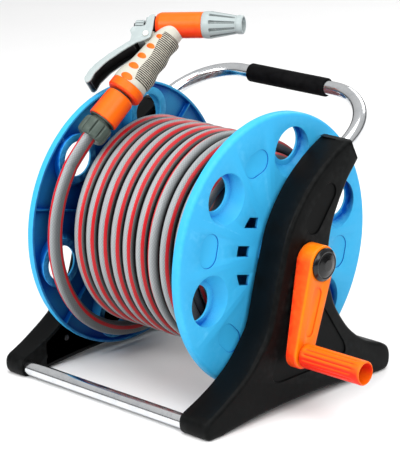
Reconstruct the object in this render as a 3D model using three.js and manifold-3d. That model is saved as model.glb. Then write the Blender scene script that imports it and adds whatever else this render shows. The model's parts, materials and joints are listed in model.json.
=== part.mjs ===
// Portable garden hose reel with a spray gun on the free end of the hose.
// Millimetres. X runs along the axle (crank side +X), the front bar is at -Y, +Z is up.
// The origin is on the floor, under the middle of the whole reel's box. The pieces are drawn about
// the middle of the axle, and the assembly moves them by TO_MIDDLE at the end.

import * as THREE from "three";
import { mergeVertices } from "three/addons/utils/BufferGeometryUtils.js";
import Module from "manifold-3d";

const wasm = await Module();
wasm.setup();

// ---------------------------------------------------------------- driving dimensions

const GAP = 0.3; // clearance between neighbouring pieces
const OVER = 1; // how far a cutting tool runs past the surface it cuts

const TO_MIDDLE = -38.4; // X of the middle of the axle: the crank reaches further out than the inlet
const AXLE_HEIGHT = 160;
const HOSE_RADIUS = 8;
const TUBE_RADIUS = 8; // bars and handle
const TUBE_WALL = 1.2;

const FRAME_INNER = 119; // distance of both side frames' inner faces from the middle
// The left side frame is thinner. Distances of its outer face, handle leg and bar ends.
const RIGHT = { outer: 158, leg: 140, barEnd: 148 };
const LEFT = { outer: 147, leg: 133, barEnd: 137 };
const FRAME_WALL = 4;
const COVER_THICKNESS = 2.6;
const DRAW_BACK = 6; // the front edge lies this much further back at the inner face
const ARCH_HEIGHT = 8; // under the middle of a side frame
const ARCH_FRONT = -132;
const ARCH_REAR = 124;

const BAR_HEIGHT = 10;
const FRONT_BAR_Y = -145.5;
const REAR_BAR_Y = 133;

const HANDLE_SOCKET = { y: 76.5, z: 264.8 }; // where a leg leaves the side frame
const HANDLE_RISE = THREE.MathUtils.degToRad(30);
const HANDLE_REACH = 80; // from the socket to the axis of the straight top
const HANDLE_BEND = 70;
const HANDLE_SUNK = 38; // length of each leg inside its side frame
const GRIP_HALF = 55.5;
const GRIP_MIDDLE = 4.5;

const FLANGE_RADIUS = 150;
const FLANGE_FACE = 113;
const FLANGE_WALL = 2.8;
const FLANGE_LIP = 103; // X of the rim's inner edge
const RIM_ROUND = 8;
const HUB_RADIUS = 26;
const HUB_FACE = 116.3;
const HUB_INNER = 100.3;

const OPENING_COUNT = 6;
const OPENING_START = THREE.MathUtils.degToRad(16.5);
const OPENING_RING = 116;
const OPENING_RADIUS = 19.5;
const LEDGE_RADIUS = 25;
const MOUTH_RADIUS = 27.5;
const MOUTH_SHIFT = 8.8; // the mouth's centre is this much nearer the hub
const CUP_FLOOR = 101.5;
const CUP_WALL = 2.4;

const PANEL_START = THREE.MathUtils.degToRad(47);
const PANEL_RING = 107;
const PANEL_LENGTH = 37;
const PANEL_WIDTH = 26;
const PANEL_DEPTH = 0.9;

const SLOT_TILT = THREE.MathUtils.degToRad(-13);
const SLOT_PITCH = 30.5;
const SLOT_HEIGHT = 11.5;
const SLOT_OUTER_RADIUS = 62.5;

const DRUM_INNER = 70.5;
const DRUM_OUTER = 73.5;
const COIL_RADIUS = 117.5;
const COIL_LEFT = -92;
const COIL_RIGHT = 89;

const JOURNAL_RADIUS = 15;
const BUSH_INNER = JOURNAL_RADIUS + GAP;
const BUSH_OUTER = 18;

const CRANK_LEAN = THREE.MathUtils.degToRad(16.8);
const CRANK_RADIUS = 97;
const CRANK_HUB = 20;
const CRANK_END = 15.5;
const CRANK_FACE = 179;
const CRANK_GRIP_START = 181;
const CRANK_GRIP_END = 260;
const CRANK_GRIP_RADIUS = 13;

const LEAD_X = -88; // plane of the loose last turn of hose
const LEAD_RADIUS = 131;

// The spray gun has its own frame: origin at the hose nut, z along the grip, x towards the nozzle.
const GUN_ORIGIN = new THREE.Vector3(-74.6, -80.4, 276.9);
const GUN_AXIS = new THREE.Vector3(0.1485, 0.7161, 0.6821).normalize();
const GUN_FRONT = new THREE.Vector3(0.9427, 0.1059, -0.3164);
const HEAD_Z = 147; // where the barrel's axis crosses the grip's
const BARREL_ANGLE = THREE.MathUtils.degToRad(60); // between grip and barrel
const BARREL_RADIUS = 14.3;
const BARREL_BACK = -22;
const BARREL_FRONT = 30;
const NOZZLE_END = 75;
const TRIGGER_HALF_WIDTH = 12.3;
const TRIGGER_WALL = 1.9;
const TRIGGER_PIVOT = { x: -17.7, z: 117.2 };

const FINE = 36;
const ROUND = 16;
const SMALL = 8;

// ---------------------------------------------------------------- materials

const plastic = (color, roughness = 0.45) =>
  new THREE.MeshStandardMaterial({ color, roughness, metalness: 0 });
const metal = (color, roughness = 0.2) =>
  new THREE.MeshStandardMaterial({ color, roughness, metalness: 1 });

const flangeBlue = plastic(0x4bbef0);
const frameBlack = plastic(0x121414, 0.5);
const orange = plastic(0xf5821e, 0.4);
const redOrange = plastic(0xee5a2d, 0.45);
const gunGrey = plastic(0xcdd5d5, 0.4);
const nutGrey = plastic(0x5f6e64, 0.5);
const softBlack = plastic(0x1a1b1b, 0.85);
const ribRubber = plastic(0x8a8c82, 0.8);
const hoseGrey = plastic(0x828787, 0.5);
const acetal = plastic(0xe8e6df, 0.35);
const sealRubber = plastic(0x101010, 0.7);
const polished = metal(0xd8dadc, 0.15);
const steel = metal(0x9a9da0, 0.35);

// ---------------------------------------------------------------- solids

function signedVolume(positions, triangles) {
  const corners = [new THREE.Vector3(), new THREE.Vector3(), new THREE.Vector3()];
  let volume = 0;
  for (let i = 0; i < triangles.length; i += 3) {
    corners.forEach((corner, k) => corner.fromArray(positions, 3 * triangles[i + k]));
    volume += corners[0].dot(corners[1].cross(corners[2])) / 6;
  }
  return volume;
}

// A closed geometry as a manifold solid, with its faces turned outwards.
function solid(geometry) {
  const bare = geometry.clone();
  Object.keys(bare.attributes)
    .filter((name) => name !== "position")
    .forEach((name) => bare.deleteAttribute(name));
  const merged = mergeVertices(bare, 1e-4);
  const positions = merged.attributes.position.array;
  const index = merged.index.array;
  const triangles = [];
  for (let i = 0; i < index.length; i += 3) {
    const [a, b, c] = [index[i], index[i + 1], index[i + 2]];
    if (a !== b && b !== c && c !== a) triangles.push(a, b, c);
  }
  if (signedVolume(positions, triangles) < 0) triangles.reverse();
  return new wasm.Manifold(
    new wasm.Mesh({
      numProp: 3,
      vertProperties: new Float32Array(positions),
      triVerts: new Uint32Array(triangles),
    }),
  );
}

const join = (first, ...others) => others.reduce((body, other) => body.add(other), first);
const cut = (body, ...tools) => tools.reduce((rest, tool) => rest.subtract(tool), body);

function geometryOf(body) {
  const { numProp, vertProperties, triVerts } = body.getMesh();
  const positions = [];
  for (let i = 0; i < vertProperties.length; i += numProp) {
    positions.push(vertProperties[i], vertProperties[i + 1], vertProperties[i + 2]);
  }
  const geometry = new THREE.BufferGeometry();
  geometry.setAttribute("position", new THREE.Float32BufferAttribute(positions, 3));
  geometry.setIndex(Array.from(triVerts));
  geometry.computeVertexNormals();
  return geometry;
}

function piece(name, body, material) {
  const mesh = new THREE.Mesh(geometryOf(body), material);
  mesh.name = name;
  return mesh;
}

// ---------------------------------------------------------------- shapes

// Profiles are lists of [radius, position along the axis].
function latheZ(profile, segments = ROUND) {
  const points = profile.map(([radius, along]) => new THREE.Vector2(radius, along));
  return new THREE.LatheGeometry(points, segments).rotateX(Math.PI / 2);
}

const latheX = (profile, segments = ROUND) => latheZ(profile, segments).rotateY(Math.PI / 2);
const turnedZ = (profile, segments) => solid(latheZ(profile, segments));
const turnedX = (profile, segments) => solid(latheX(profile, segments));

// A profile of a plain rod or of a tube, along the axis from start to end.
const rodProfile = (radius, start, end) => [[0, start], [radius, start], [radius, end], [0, end]];
const tubeProfile = (outer, inner, start, end) => [
  [inner, start],
  [outer, start],
  [outer, end],
  [inner, end],
  [inner, start],
];

const rodZ = (radius, start, end, segments) => turnedZ(rodProfile(radius, start, end), segments);

// A rod along X whose axis passes through (y, z).
function rodX(radius, start, end, y, z, segments = ROUND) {
  return solid(latheX(rodProfile(radius, start, end), segments).translate(0, y, z));
}

// A ring of round section about Z.
function ringZ(ringRadius, sectionRadius, position) {
  return solid(new THREE.TorusGeometry(ringRadius, sectionRadius, 6, ROUND).translate(0, 0, position));
}

// An outline in the YZ plane, made into a plate between two X values.
const YZ_TO_X = new THREE.Matrix4().makeBasis(
  new THREE.Vector3(0, 1, 0),
  new THREE.Vector3(0, 0, 1),
  new THREE.Vector3(1, 0, 0),
);

function plateX(shape, start, end, curveSegments = 6) {
  const settings = { depth: end - start, bevelEnabled: false, curveSegments };
  const geometry = new THREE.ExtrudeGeometry(shape, settings);
  return solid(geometry.applyMatrix4(YZ_TO_X).translate(start, 0, 0));
}

// An outline in the XZ plane, made into a plate between two Y values.
function plateY(shape, start, end, curveSegments = 6) {
  const settings = { depth: end - start, bevelEnabled: false, curveSegments };
  const geometry = new THREE.ExtrudeGeometry(shape, settings);
  return solid(geometry.rotateX(Math.PI / 2).translate(0, end, 0));
}

const polygon = (points) => new THREE.Shape(points.map(([x, y]) => new THREE.Vector2(x, y)));

// The outline round two circles, each {x, y, r}.
function stadium(first, second, arcSteps = 5) {
  const along = Math.atan2(second.y - first.y, second.x - first.x);
  const distance = Math.hypot(second.x - first.x, second.y - first.y);
  const lean = Math.acos((first.r - second.r) / distance);
  const points = [];
  const arc = (circle, from, to) => {
    for (let i = 0; i <= arcSteps; i++) {
      const angle = from + ((to - from) * i) / arcSteps;
      points.push([circle.x + circle.r * Math.cos(angle), circle.y + circle.r * Math.sin(angle)]);
    }
  };
  arc(second, along - lean, along + lean);
  arc(first, along + lean, along - lean + 2 * Math.PI);
  return points;
}

// Moves a closed outline inwards by a distance, corner by corner.
function inset(points, distance) {
  const count = points.length;
  const area = points.reduce((sum, [x, y], i) => {
    const [nextX, nextY] = points[(i + 1) % count];
    return sum + x * nextY - nextX * y;
  }, 0);
  const side = Math.sign(area);
  return points.map(([x, y], i) => {
    const [lastX, lastY] = points[(i + count - 1) % count];
    const [nextX, nextY] = points[(i + 1) % count];
    const before = new THREE.Vector2(x - lastX, y - lastY).normalize();
    const after = new THREE.Vector2(nextX - x, nextY - y).normalize();
    const normal = new THREE.Vector2(-before.y - after.y, before.x + after.x).normalize();
    const stretch = distance / Math.max(0.5, normal.dot(new THREE.Vector2(-after.y, after.x)));
    return [x + side * normal.x * stretch, y + side * normal.y * stretch];
  });
}

// A closed body through rings of points; all rings have the same number of points.
function loft(rings) {
  const count = rings[0].length;
  const positions = rings.flat().flatMap((point) => point.toArray());
  const triangles = [];
  for (let r = 0; r + 1 < rings.length; r++) {
    for (let i = 0; i < count; i++) {
      const a = r * count + i;
      const b = r * count + ((i + 1) % count);
      triangles.push(a, b, b + count, a, b + count, a + count);
    }
  }
  const last = (rings.length - 1) * count;
  capTriangles(rings[0]).forEach(([a, b, c]) => triangles.push(a, c, b));
  capTriangles(rings.at(-1)).forEach(([a, b, c]) => triangles.push(last + a, last + b, last + c));
  const geometry = new THREE.BufferGeometry();
  geometry.setAttribute("position", new THREE.Float32BufferAttribute(positions, 3));
  geometry.setIndex(triangles);
  return solid(geometry);
}

// Triangles that fill a flat ring, turning the same way as the ring does.
function capTriangles(ring) {
  const normal = new THREE.Vector3();
  ring.forEach((point, i) => normal.add(point.clone().cross(ring[(i + 1) % ring.length])));
  normal.normalize();
  const across = new THREE.Vector3().subVectors(ring[1], ring[0]).normalize();
  const up = normal.clone().cross(across);
  const flat = ring.map((point) => new THREE.Vector2(point.dot(across), point.dot(up)));
  return THREE.ShapeUtils.triangulateShape(flat, []).map(([a, b, c]) => {
    const ab = flat[b].clone().sub(flat[a]);
    const ac = flat[c].clone().sub(flat[a]);
    return ab.cross(ac) > 0 ? [a, b, c] : [a, c, b];
  });
}

const ringAtX = (points, x) => points.map(([y, z]) => new THREE.Vector3(x, y, z));

function circlePoints(centreX, centreY, radius, count) {
  return Array.from({ length: count }, (_, i) => {
    const angle = (2 * Math.PI * i) / count;
    return [centreX + radius * Math.cos(angle), centreY + radius * Math.sin(angle)];
  });
}

// A bar or tube swept along a path.
function swept(path, radius, steps, sides, boreRadius = 0) {
  const section = new THREE.Shape().absarc(0, 0, radius, 0, 2 * Math.PI);
  if (boreRadius) section.holes.push(new THREE.Path().absarc(0, 0, boreRadius, 0, 2 * Math.PI, true));
  const settings = { steps, extrudePath: path, curveSegments: sides, bevelEnabled: false };
  return solid(new THREE.ExtrudeGeometry(section, settings));
}

const mirrored = (body) => solid(geometryOf(body).scale(-1, 1, 1));

// A pan-head screw along X: the head starts at headX and the shank points to +X.
function screwX(headX, length, y, z) {
  const neck = [[0, 0], [3.4, 0.5], [3.4, SCREW_HEAD], [1.5, SCREW_HEAD]];
  const profile = [...neck, [1.5, length - 2], [0, length]];
  return solid(latheX(profile, SMALL).translate(headX, y, z));
}

const SCREW_HOLE = 1.5 + GAP;
const SCREW_HEAD = 2; // height of a screw's head
const SCREW_LENGTH = 18;

// ---------------------------------------------------------------- side frames

function splinePoints(knots, steps) {
  const curve = new THREE.SplineCurve(knots.map(([x, y]) => new THREE.Vector2(x, y)));
  return curve.getPoints(steps).map((point) => point.toArray());
}

// The side view of a frame as [y, z], from the front toe over the top to the rear toe.
function frameOutline() {
  const front = splinePoints(
    [[-150, 23], [-127, 34], [-92, 56], [-69, 80.5], [-58.5, 97], [-49.5, 130], [-39.5, 165],
      [-27, 200], [-1, 235], [31, 260.5], [62, 276.5]],
    14,
  );
  const topEnd = [[72, 276.5], [83.5, 254.5]];
  const rear = splinePoints(
    [[66, 235], [53, 214], [41.5, 190], [36, 162], [37, 135], [42.5, 114], [52, 93], [75, 64.5],
      [103, 44], [132, 33]],
    11,
  );
  const rearToe = [[142, 27], [146, 18], [145.5, 8], [142, 2], [138, 0], [ARCH_REAR, 0]];
  const middle = (ARCH_FRONT + ARCH_REAR) / 2;
  const half = (ARCH_REAR - ARCH_FRONT) / 2;
  const arch = [0.66, 0.23, -0.23, -0.66].map((share) => {
    return [middle + share * half, ARCH_HEIGHT * (1 - share ** 2)];
  });
  const frontToe = [[ARCH_FRONT, 0], [-148, 0], [-154, 4], [-156, 12], [-154.5, 19]];
  return [...front, ...topEnd, ...rear, ...rearToe, ...arch, ...frontToe];
}

// Towards the inner face the front edge of the frame draws back, but not at the toe.
function drawnBack(points) {
  return points.map(([y, z]) => {
    const front = y < 60 - (276 - z) * 0.35;
    const share = THREE.MathUtils.clamp((z - 20) / 20, 0, 1);
    return [y + (front ? DRAW_BACK * share : 0), z];
  });
}

function handleSocket(side, radius, depth) {
  const rod = latheZ(rodProfile(radius, -depth, 40), ROUND).rotateX(-Math.PI / 2 + HANDLE_RISE);
  return solid(rod.translate(side.leg, HANDLE_SOCKET.y, HANDLE_SOCKET.z));
}

const COVER_SCREWS = [[-88, 30], [0, 215], [88, 30]];
const HANDLE_SCREW = [52, 250.6];
const INLET_SCREW_OFFSET = 21.5; // from the axle to each screw of the water inlet
const INLET_FLANGE = 3; // thickness of the inlet's flange

function frameShell(side) {
  const outline = frameOutline();
  return loft([
    ringAtX(drawnBack(outline), FRAME_INNER),
    ringAtX(outline, side.outer - 9),
    ringAtX(outline, side.outer - 5),
    ringAtX(inset(outline, 1.5), side.outer - 1.4),
    ringAtX(inset(outline, 5), side.outer),
  ]);
}

// The hollow behind the inner cover, between the two solid toes.
function frameHollow(side, clearance, start, end) {
  const shrunk = inset(drawnBack(frameOutline()), FRAME_WALL + clearance);
  const body = plateX(polygon(shrunk), start, end);
  const toes = [-1, 1].map((toe) => {
    const box = new THREE.BoxGeometry(100, 100, 100);
    const edge = toe < 0 ? -118 : 106;
    return solid(box.translate(FRAME_INNER, edge + toe * (50 - clearance), 50));
  });
  return cut(body, ...toes, handleSocket(side, TUBE_RADIUS + 4 + clearance, HANDLE_SUNK + 6));
}

function frameRibs(start, end) {
  const bosses = COVER_SCREWS.map(([y, z]) => rodX(5, start, end, y, z, SMALL));
  const hub = rodX(BUSH_OUTER + 5, start, end, 0, AXLE_HEIGHT);
  const bars = [[0, 60], [0, 110], [12, 205]].map(([y, z]) => {
    return solid(new THREE.BoxGeometry(end - start, 120, 2.5).translate((start + end) / 2, y, z));
  });
  return join(hub, ...bosses, ...bars);
}

// A shallow oval on the upper arm and a rounded triangle behind the crank.
function framePanels(side) {
  const oval = stadium({ x: 10, y: 199, r: 13 }, { x: 34, y: 226, r: 11 });
  const low = stadium({ x: -46, y: 44, r: 9 }, { x: -2, y: 122, r: 14 });
  const high = stadium({ x: -46, y: 44, r: 9 }, { x: 62, y: 44, r: 9 });
  const back = stadium({ x: 62, y: 44, r: 9 }, { x: -2, y: 122, r: 14 });
  const middle = [[-46, 44], [62, 44], [-2, 122]];
  const floor = side.outer - 1.6;
  const top = side.outer + OVER;
  const triangle = [low, high, back, middle].map((shape) => plateX(polygon(shape), floor, top));
  return [plateX(polygon(oval), floor, top), ...triangle];
}

// A side frame as it stands on the right; the left one is mirrored afterwards.
function sideFrame(side) {
  const coverDepth = FRAME_INNER + COVER_THICKNESS + GAP;
  const hollow = cut(
    frameHollow(side, 0, coverDepth, side.outer - FRAME_WALL - 1.5),
    frameRibs(coverDepth, side.outer),
  );
  const seat = frameHollow(side, 0, FRAME_INNER - OVER, coverDepth + 0.01);
  const bars = [FRONT_BAR_Y, REAR_BAR_Y].map((y) => {
    return rodX(TUBE_RADIUS + GAP, FRAME_INNER - OVER, side.barEnd + GAP, y, BAR_HEIGHT);
  });
  const screwEnd = FRAME_INNER + SCREW_LENGTH + 1;
  const screws = COVER_SCREWS.map(([y, z]) => {
    return rodX(SCREW_HOLE, coverDepth - OVER, screwEnd, y, z, SMALL);
  });
  return cut(
    frameShell(side),
    hollow,
    seat,
    ...bars,
    ...screws,
    ...framePanels(side),
    rodX(BUSH_OUTER + GAP, FRAME_INNER - OVER, side.outer + OVER, 0, AXLE_HEIGHT),
    rodX(SCREW_HOLE, FRAME_INNER - OVER, side.leg, ...HANDLE_SCREW, SMALL),
    handleSocket(side, TUBE_RADIUS + GAP, HANDLE_SUNK + GAP),
  );
}

function leftSideFrame() {
  const inletScrews = [-1, 1].map((side) => {
    const z = AXLE_HEIGHT + side * INLET_SCREW_OFFSET;
    return rodX(SCREW_HOLE, -LEFT.outer - OVER, -LEFT.outer + 10, 0, z, SMALL);
  });
  return cut(mirrored(sideFrame(LEFT)), ...inletScrews);
}

function innerCover(side) {
  const end = FRAME_INNER + COVER_THICKNESS;
  const screws = [...COVER_SCREWS, HANDLE_SCREW].map(([y, z]) => {
    return rodX(SCREW_HOLE, FRAME_INNER - OVER, end + OVER, y, z, SMALL);
  });
  return cut(
    frameHollow(side, GAP, FRAME_INNER + GAP, end),
    rodX(BUSH_OUTER + GAP, FRAME_INNER - OVER, end + OVER, 0, AXLE_HEIGHT),
    ...screws,
  );
}

function bush(side) {
  const profile = [
    [BUSH_INNER, FRAME_INNER - 2.3],
    [BUSH_OUTER + 4, FRAME_INNER - 2.3],
    [BUSH_OUTER + 4, FRAME_INNER - GAP],
    [BUSH_OUTER, FRAME_INNER - GAP],
    [BUSH_OUTER, side.outer - 2.5],
    [BUSH_INNER, side.outer - 2.5],
    [BUSH_INNER, FRAME_INNER - 2.3],
  ];
  return solid(latheX(profile).translate(0, 0, AXLE_HEIGHT));
}

function bar(y) {
  const profile = tubeProfile(TUBE_RADIUS, TUBE_RADIUS - TUBE_WALL, -LEFT.barEnd, RIGHT.barEnd);
  return solid(latheX(profile, ROUND).translate(0, y, BAR_HEIGHT));
}

// ---------------------------------------------------------------- carrying handle

// A point of the handle's plane: x across, s along the slope from the socket.
function handlePoint(x, s) {
  const y = HANDLE_SOCKET.y + s * Math.cos(HANDLE_RISE);
  return new THREE.Vector3(x, y, HANDLE_SOCKET.z + s * Math.sin(HANDLE_RISE));
}

function handlePath() {
  const bendStart = HANDLE_REACH - HANDLE_BEND;
  const weight = 0.5523; // makes a cubic curve follow a quarter circle
  // The control points of one bend, from the leg at x to the straight top.
  const bend = (x) => {
    const inward = -Math.sign(x) * HANDLE_BEND;
    return [
      handlePoint(x, bendStart),
      handlePoint(x, bendStart + weight * HANDLE_BEND),
      handlePoint(x + (1 - weight) * inward, HANDLE_REACH),
      handlePoint(x + inward, HANDLE_REACH),
    ];
  };
  const left = bend(-LEFT.leg);
  const right = bend(RIGHT.leg).reverse();
  const path = new THREE.CurvePath();
  path.add(new THREE.LineCurve3(handlePoint(-LEFT.leg, -HANDLE_SUNK), left[0]));
  path.add(new THREE.CubicBezierCurve3(...left));
  path.add(new THREE.LineCurve3(left[3], right[0]));
  path.add(new THREE.CubicBezierCurve3(...right));
  path.add(new THREE.LineCurve3(right[3], handlePoint(RIGHT.leg, -HANDLE_SUNK)));
  return path;
}

function handleTube() {
  const tube = swept(handlePath(), TUBE_RADIUS, 26, 5, TUBE_RADIUS - TUBE_WALL);
  const right = rodX(SCREW_HOLE, FRAME_INNER, RIGHT.leg, ...HANDLE_SCREW, SMALL);
  const left = rodX(SCREW_HOLE, -LEFT.leg, -FRAME_INNER, ...HANDLE_SCREW, SMALL);
  return cut(tube, right, left);
}

function handleGrip() {
  const inner = TUBE_RADIUS + GAP;
  const outer = inner + 2.2;
  const profile = [
    [inner, -GRIP_HALF],
    [outer - 1, -GRIP_HALF],
    [outer, -GRIP_HALF + 1.5],
    [outer, GRIP_HALF - 1.5],
    [outer - 1, GRIP_HALF],
    [inner, GRIP_HALF],
    [inner, -GRIP_HALF],
  ];
  const middle = handlePoint(GRIP_MIDDLE, HANDLE_REACH);
  return solid(latheX(profile).translate(middle.x, middle.y, middle.z));
}

// ---------------------------------------------------------------- reel

function flangeDisc() {
  const inner = FLANGE_FACE - FLANGE_WALL;
  const arcs = (radius, x, steps) =>
    Array.from({ length: steps + 1 }, (_, i) => {
      const angle = (Math.PI / 2) * (1 - i / steps);
      const centre = FLANGE_RADIUS - RIM_ROUND;
      return [centre + radius * Math.cos(angle), x + radius * Math.sin(angle)];
    });
  const rimCentre = FLANGE_FACE - RIM_ROUND;
  const profile = [
    [JOURNAL_RADIUS + GAP, HUB_INNER],
    [JOURNAL_RADIUS + GAP, HUB_FACE],
    [HUB_RADIUS, HUB_FACE],
    [HUB_RADIUS + 2, FLANGE_FACE],
    ...arcs(RIM_ROUND, rimCentre, 3),
    [FLANGE_RADIUS, FLANGE_LIP],
    [FLANGE_RADIUS - FLANGE_WALL, FLANGE_LIP],
    ...arcs(RIM_ROUND - FLANGE_WALL, rimCentre, 2).reverse(),
    [DRUM_INNER - GAP, inner],
    [DRUM_INNER - GAP, HUB_INNER],
    [DRUM_INNER - 3, HUB_INNER],
    [DRUM_INNER - 3, inner],
    [HUB_RADIUS, inner],
    [HUB_RADIUS, HUB_INNER],
    [JOURNAL_RADIUS + GAP, HUB_INNER],
  ];
  return turnedX(profile, FINE);
}

// A funnel round one opening; its rings lie at the outer face and at the ledge.
function funnel(angle, grow, start, end) {
  const ring = (x, radius, shift) => {
    const distance = OPENING_RING - shift;
    const centre = [distance * Math.cos(angle), distance * Math.sin(angle)];
    return ringAtX(circlePoints(...centre, radius + grow, 12), x);
  };
  const slope = (x) => (x - CUP_FLOOR) / (FLANGE_FACE - CUP_FLOOR);
  const at = (x) => {
    const share = Math.max(0, slope(x));
    return ring(x, LEDGE_RADIUS + share * (MOUTH_RADIUS - LEDGE_RADIUS), share * MOUTH_SHIFT);
  };
  return loft([at(start), at(CUP_FLOOR + 0.01), at(end)]);
}

function flangeRib(angle) {
  const inner = FLANGE_FACE - FLANGE_WALL;
  const length = FLANGE_RADIUS - 2 - DRUM_OUTER - 1;
  const rib = new THREE.BoxGeometry(6, length, 1.8);
  rib.translate(inner - 2.6, DRUM_OUTER + 1 + length / 2, 0);
  return solid(rib.rotateX(angle));
}

function flangePanel(angle) {
  const half = PANEL_LENGTH / 2 - PANEL_WIDTH / 2;
  const centre = (side) => {
    return {
      x: PANEL_RING * Math.cos(angle) - side * half * Math.sin(angle),
      y: PANEL_RING * Math.sin(angle) + side * half * Math.cos(angle),
      r: PANEL_WIDTH / 2,
    };
  };
  const outline = stadium(centre(-1), centre(1), 3);
  return plateX(polygon(outline), FLANGE_FACE - PANEL_DEPTH, FLANGE_FACE + OVER);
}

// One slot beside the hub: straight sides, a straight inner end and a round outer end.
function flangeSlot(side, row) {
  const low = row * SLOT_PITCH - SLOT_HEIGHT / 2;
  const high = low + SLOT_HEIGHT;
  const inner = row === 0 ? 44 : 37;
  const outer = (height) => Math.sqrt(SLOT_OUTER_RADIUS ** 2 - height ** 2);
  const corners = [[inner, low], [outer(low), low], [outer(high), high], [inner, high]];
  const tilt = side < 0 ? Math.PI + SLOT_TILT : SLOT_TILT;
  const turned = corners.map(([x, y]) => [
    x * Math.cos(tilt) - y * Math.sin(tilt),
    x * Math.sin(tilt) + y * Math.cos(tilt),
  ]);
  return plateX(polygon(turned), HUB_INNER, FLANGE_FACE + OVER);
}

function flange() {
  const turn = (start) => (_, i) => start + (i * 2 * Math.PI) / OPENING_COUNT;
  const openings = Array.from({ length: OPENING_COUNT }, turn(OPENING_START));
  const panels = Array.from({ length: OPENING_COUNT }, turn(PANEL_START));
  const inner = FLANGE_FACE - FLANGE_WALL;
  const cups = openings.map((angle) => funnel(angle, CUP_WALL, CUP_FLOOR - CUP_WALL, inner + 1));
  const hollows = openings.map((angle) => funnel(angle, 0, CUP_FLOOR, FLANGE_FACE + OVER));
  const holes = openings.map((angle) => {
    const y = OPENING_RING * Math.cos(angle);
    return rodX(OPENING_RADIUS, CUP_FLOOR - 4, CUP_FLOOR + 1, y, OPENING_RING * Math.sin(angle), 12);
  });
  const slots = [-1, 1].flatMap((side) => [-1, 0, 1].map((row) => flangeSlot(side, row)));
  const solidDisc = join(flangeDisc(), ...panels.map(flangeRib), ...cups);
  return cut(solidDisc, ...hollows, ...holes, ...slots, ...panels.map(flangePanel));
}

function drumBarrel() {
  const end = FLANGE_FACE - FLANGE_WALL - GAP;
  const tube = turnedX(tubeProfile(DRUM_OUTER, DRUM_INNER, -end, end), FINE);
  return cut(tube, solid(latheZ(rodProfile(HOSE_RADIUS + 0.6, 50, 90)).translate(ELBOW_X, 0, 0)));
}

// The wound hose: a full outer layer that stands on the drum at both ends.
function hoseCoil() {
  const foot = 24;
  const underside = COIL_RADIUS - 2 * HOSE_RADIUS;
  const round = 4;
  const profile = [
    [DRUM_OUTER + 0.8, COIL_LEFT],
    [COIL_RADIUS - round, COIL_LEFT],
    [COIL_RADIUS, COIL_LEFT + round],
    [COIL_RADIUS, COIL_RIGHT - round],
    [COIL_RADIUS - round, COIL_RIGHT],
    [DRUM_OUTER + 0.8, COIL_RIGHT],
    [DRUM_OUTER + 0.8, COIL_RIGHT - foot],
    [underside, COIL_RIGHT - foot],
    [underside, COIL_LEFT + foot],
    [DRUM_OUTER + 0.8, COIL_LEFT + foot],
    [DRUM_OUTER + 0.8, COIL_LEFT],
  ];
  return turnedX(profile, FINE);
}

const ELBOW_X = -80;
const AXLE_DISC = 24;
const SOCKET_HALF = 8; // half of the square socket in the drive axle
const SOCKET_START = 145;
const CRANK_INNER = RIGHT.outer + 0.8;

function driveAxle() {
  const end = RIGHT.outer - 1;
  const profile = [
    [0, 96.8],
    [AXLE_DISC, 96.8],
    [AXLE_DISC, 100],
    [JOURNAL_RADIUS, 100],
    [JOURNAL_RADIUS, end],
    [0, end],
  ];
  const side = 2 * (SOCKET_HALF + GAP);
  const socket = new THREE.BoxGeometry(end - SOCKET_START + OVER, side, side);
  socket.translate((SOCKET_START + end + OVER) / 2, 0, 0);
  return cut(turnedX(profile), solid(socket), rodX(2.4 + GAP, 120, SOCKET_START + OVER, 0, 0, SMALL));
}

const WATER_BORE = 6;
const SEAL_SEAT = -LEFT.outer + 8; // the hollow axle widens here for the inlet's seal

function hollowAxle() {
  const outer = -LEFT.outer + 1;
  const profile = [
    [WATER_BORE, -96.8],
    [AXLE_DISC, -96.8],
    [AXLE_DISC, -100],
    [JOURNAL_RADIUS, -100],
    [JOURNAL_RADIUS, outer],
    [9.2, outer],
    [9.2, SEAL_SEAT],
    [WATER_BORE, SEAL_SEAT],
    [WATER_BORE, -96.8],
  ];
  return turnedX(profile);
}

function drumElbow() {
  const run = turnedX([[0, -104], [5.6, -104], [5.6, -96.5], [10, -96.5], [10, -69], [0, -69]]);
  const stub = turnedZ([[0, 0], [8, 0], [8, 36], [5.6, 36], [5.6, 50], [0, 50]]);
  const rise = stub.translate([ELBOW_X, 0, 0]);
  const bore = rodX(4, -105, ELBOW_X, 0, 0, SMALL);
  const outlet = solid(latheZ(rodProfile(4, 0, 51), SMALL).translate(ELBOW_X, 0, 0));
  return cut(join(run, rise), bore, outlet);
}

function innerHoseNut() {
  const ring = latheZ(tubeProfile(12, HOSE_RADIUS + 1.2, 32, 46), 8);
  return solid(ring.translate(ELBOW_X, 0, 0));
}

function innerHose() {
  const tube = latheZ(tubeProfile(HOSE_RADIUS, 6, 37, DRUM_OUTER), ROUND);
  return solid(tube.translate(ELBOW_X, 0, 0));
}

// ---------------------------------------------------------------- crank

const crankEnd = {
  y: -CRANK_RADIUS * Math.sin(CRANK_LEAN),
  z: -CRANK_RADIUS * Math.cos(CRANK_LEAN),
};

// Distance from the axle along the arm, as a share of the crank radius.
const alongArm = (y, z) => (y * crankEnd.y + z * crankEnd.z) / CRANK_RADIUS ** 2;

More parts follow.
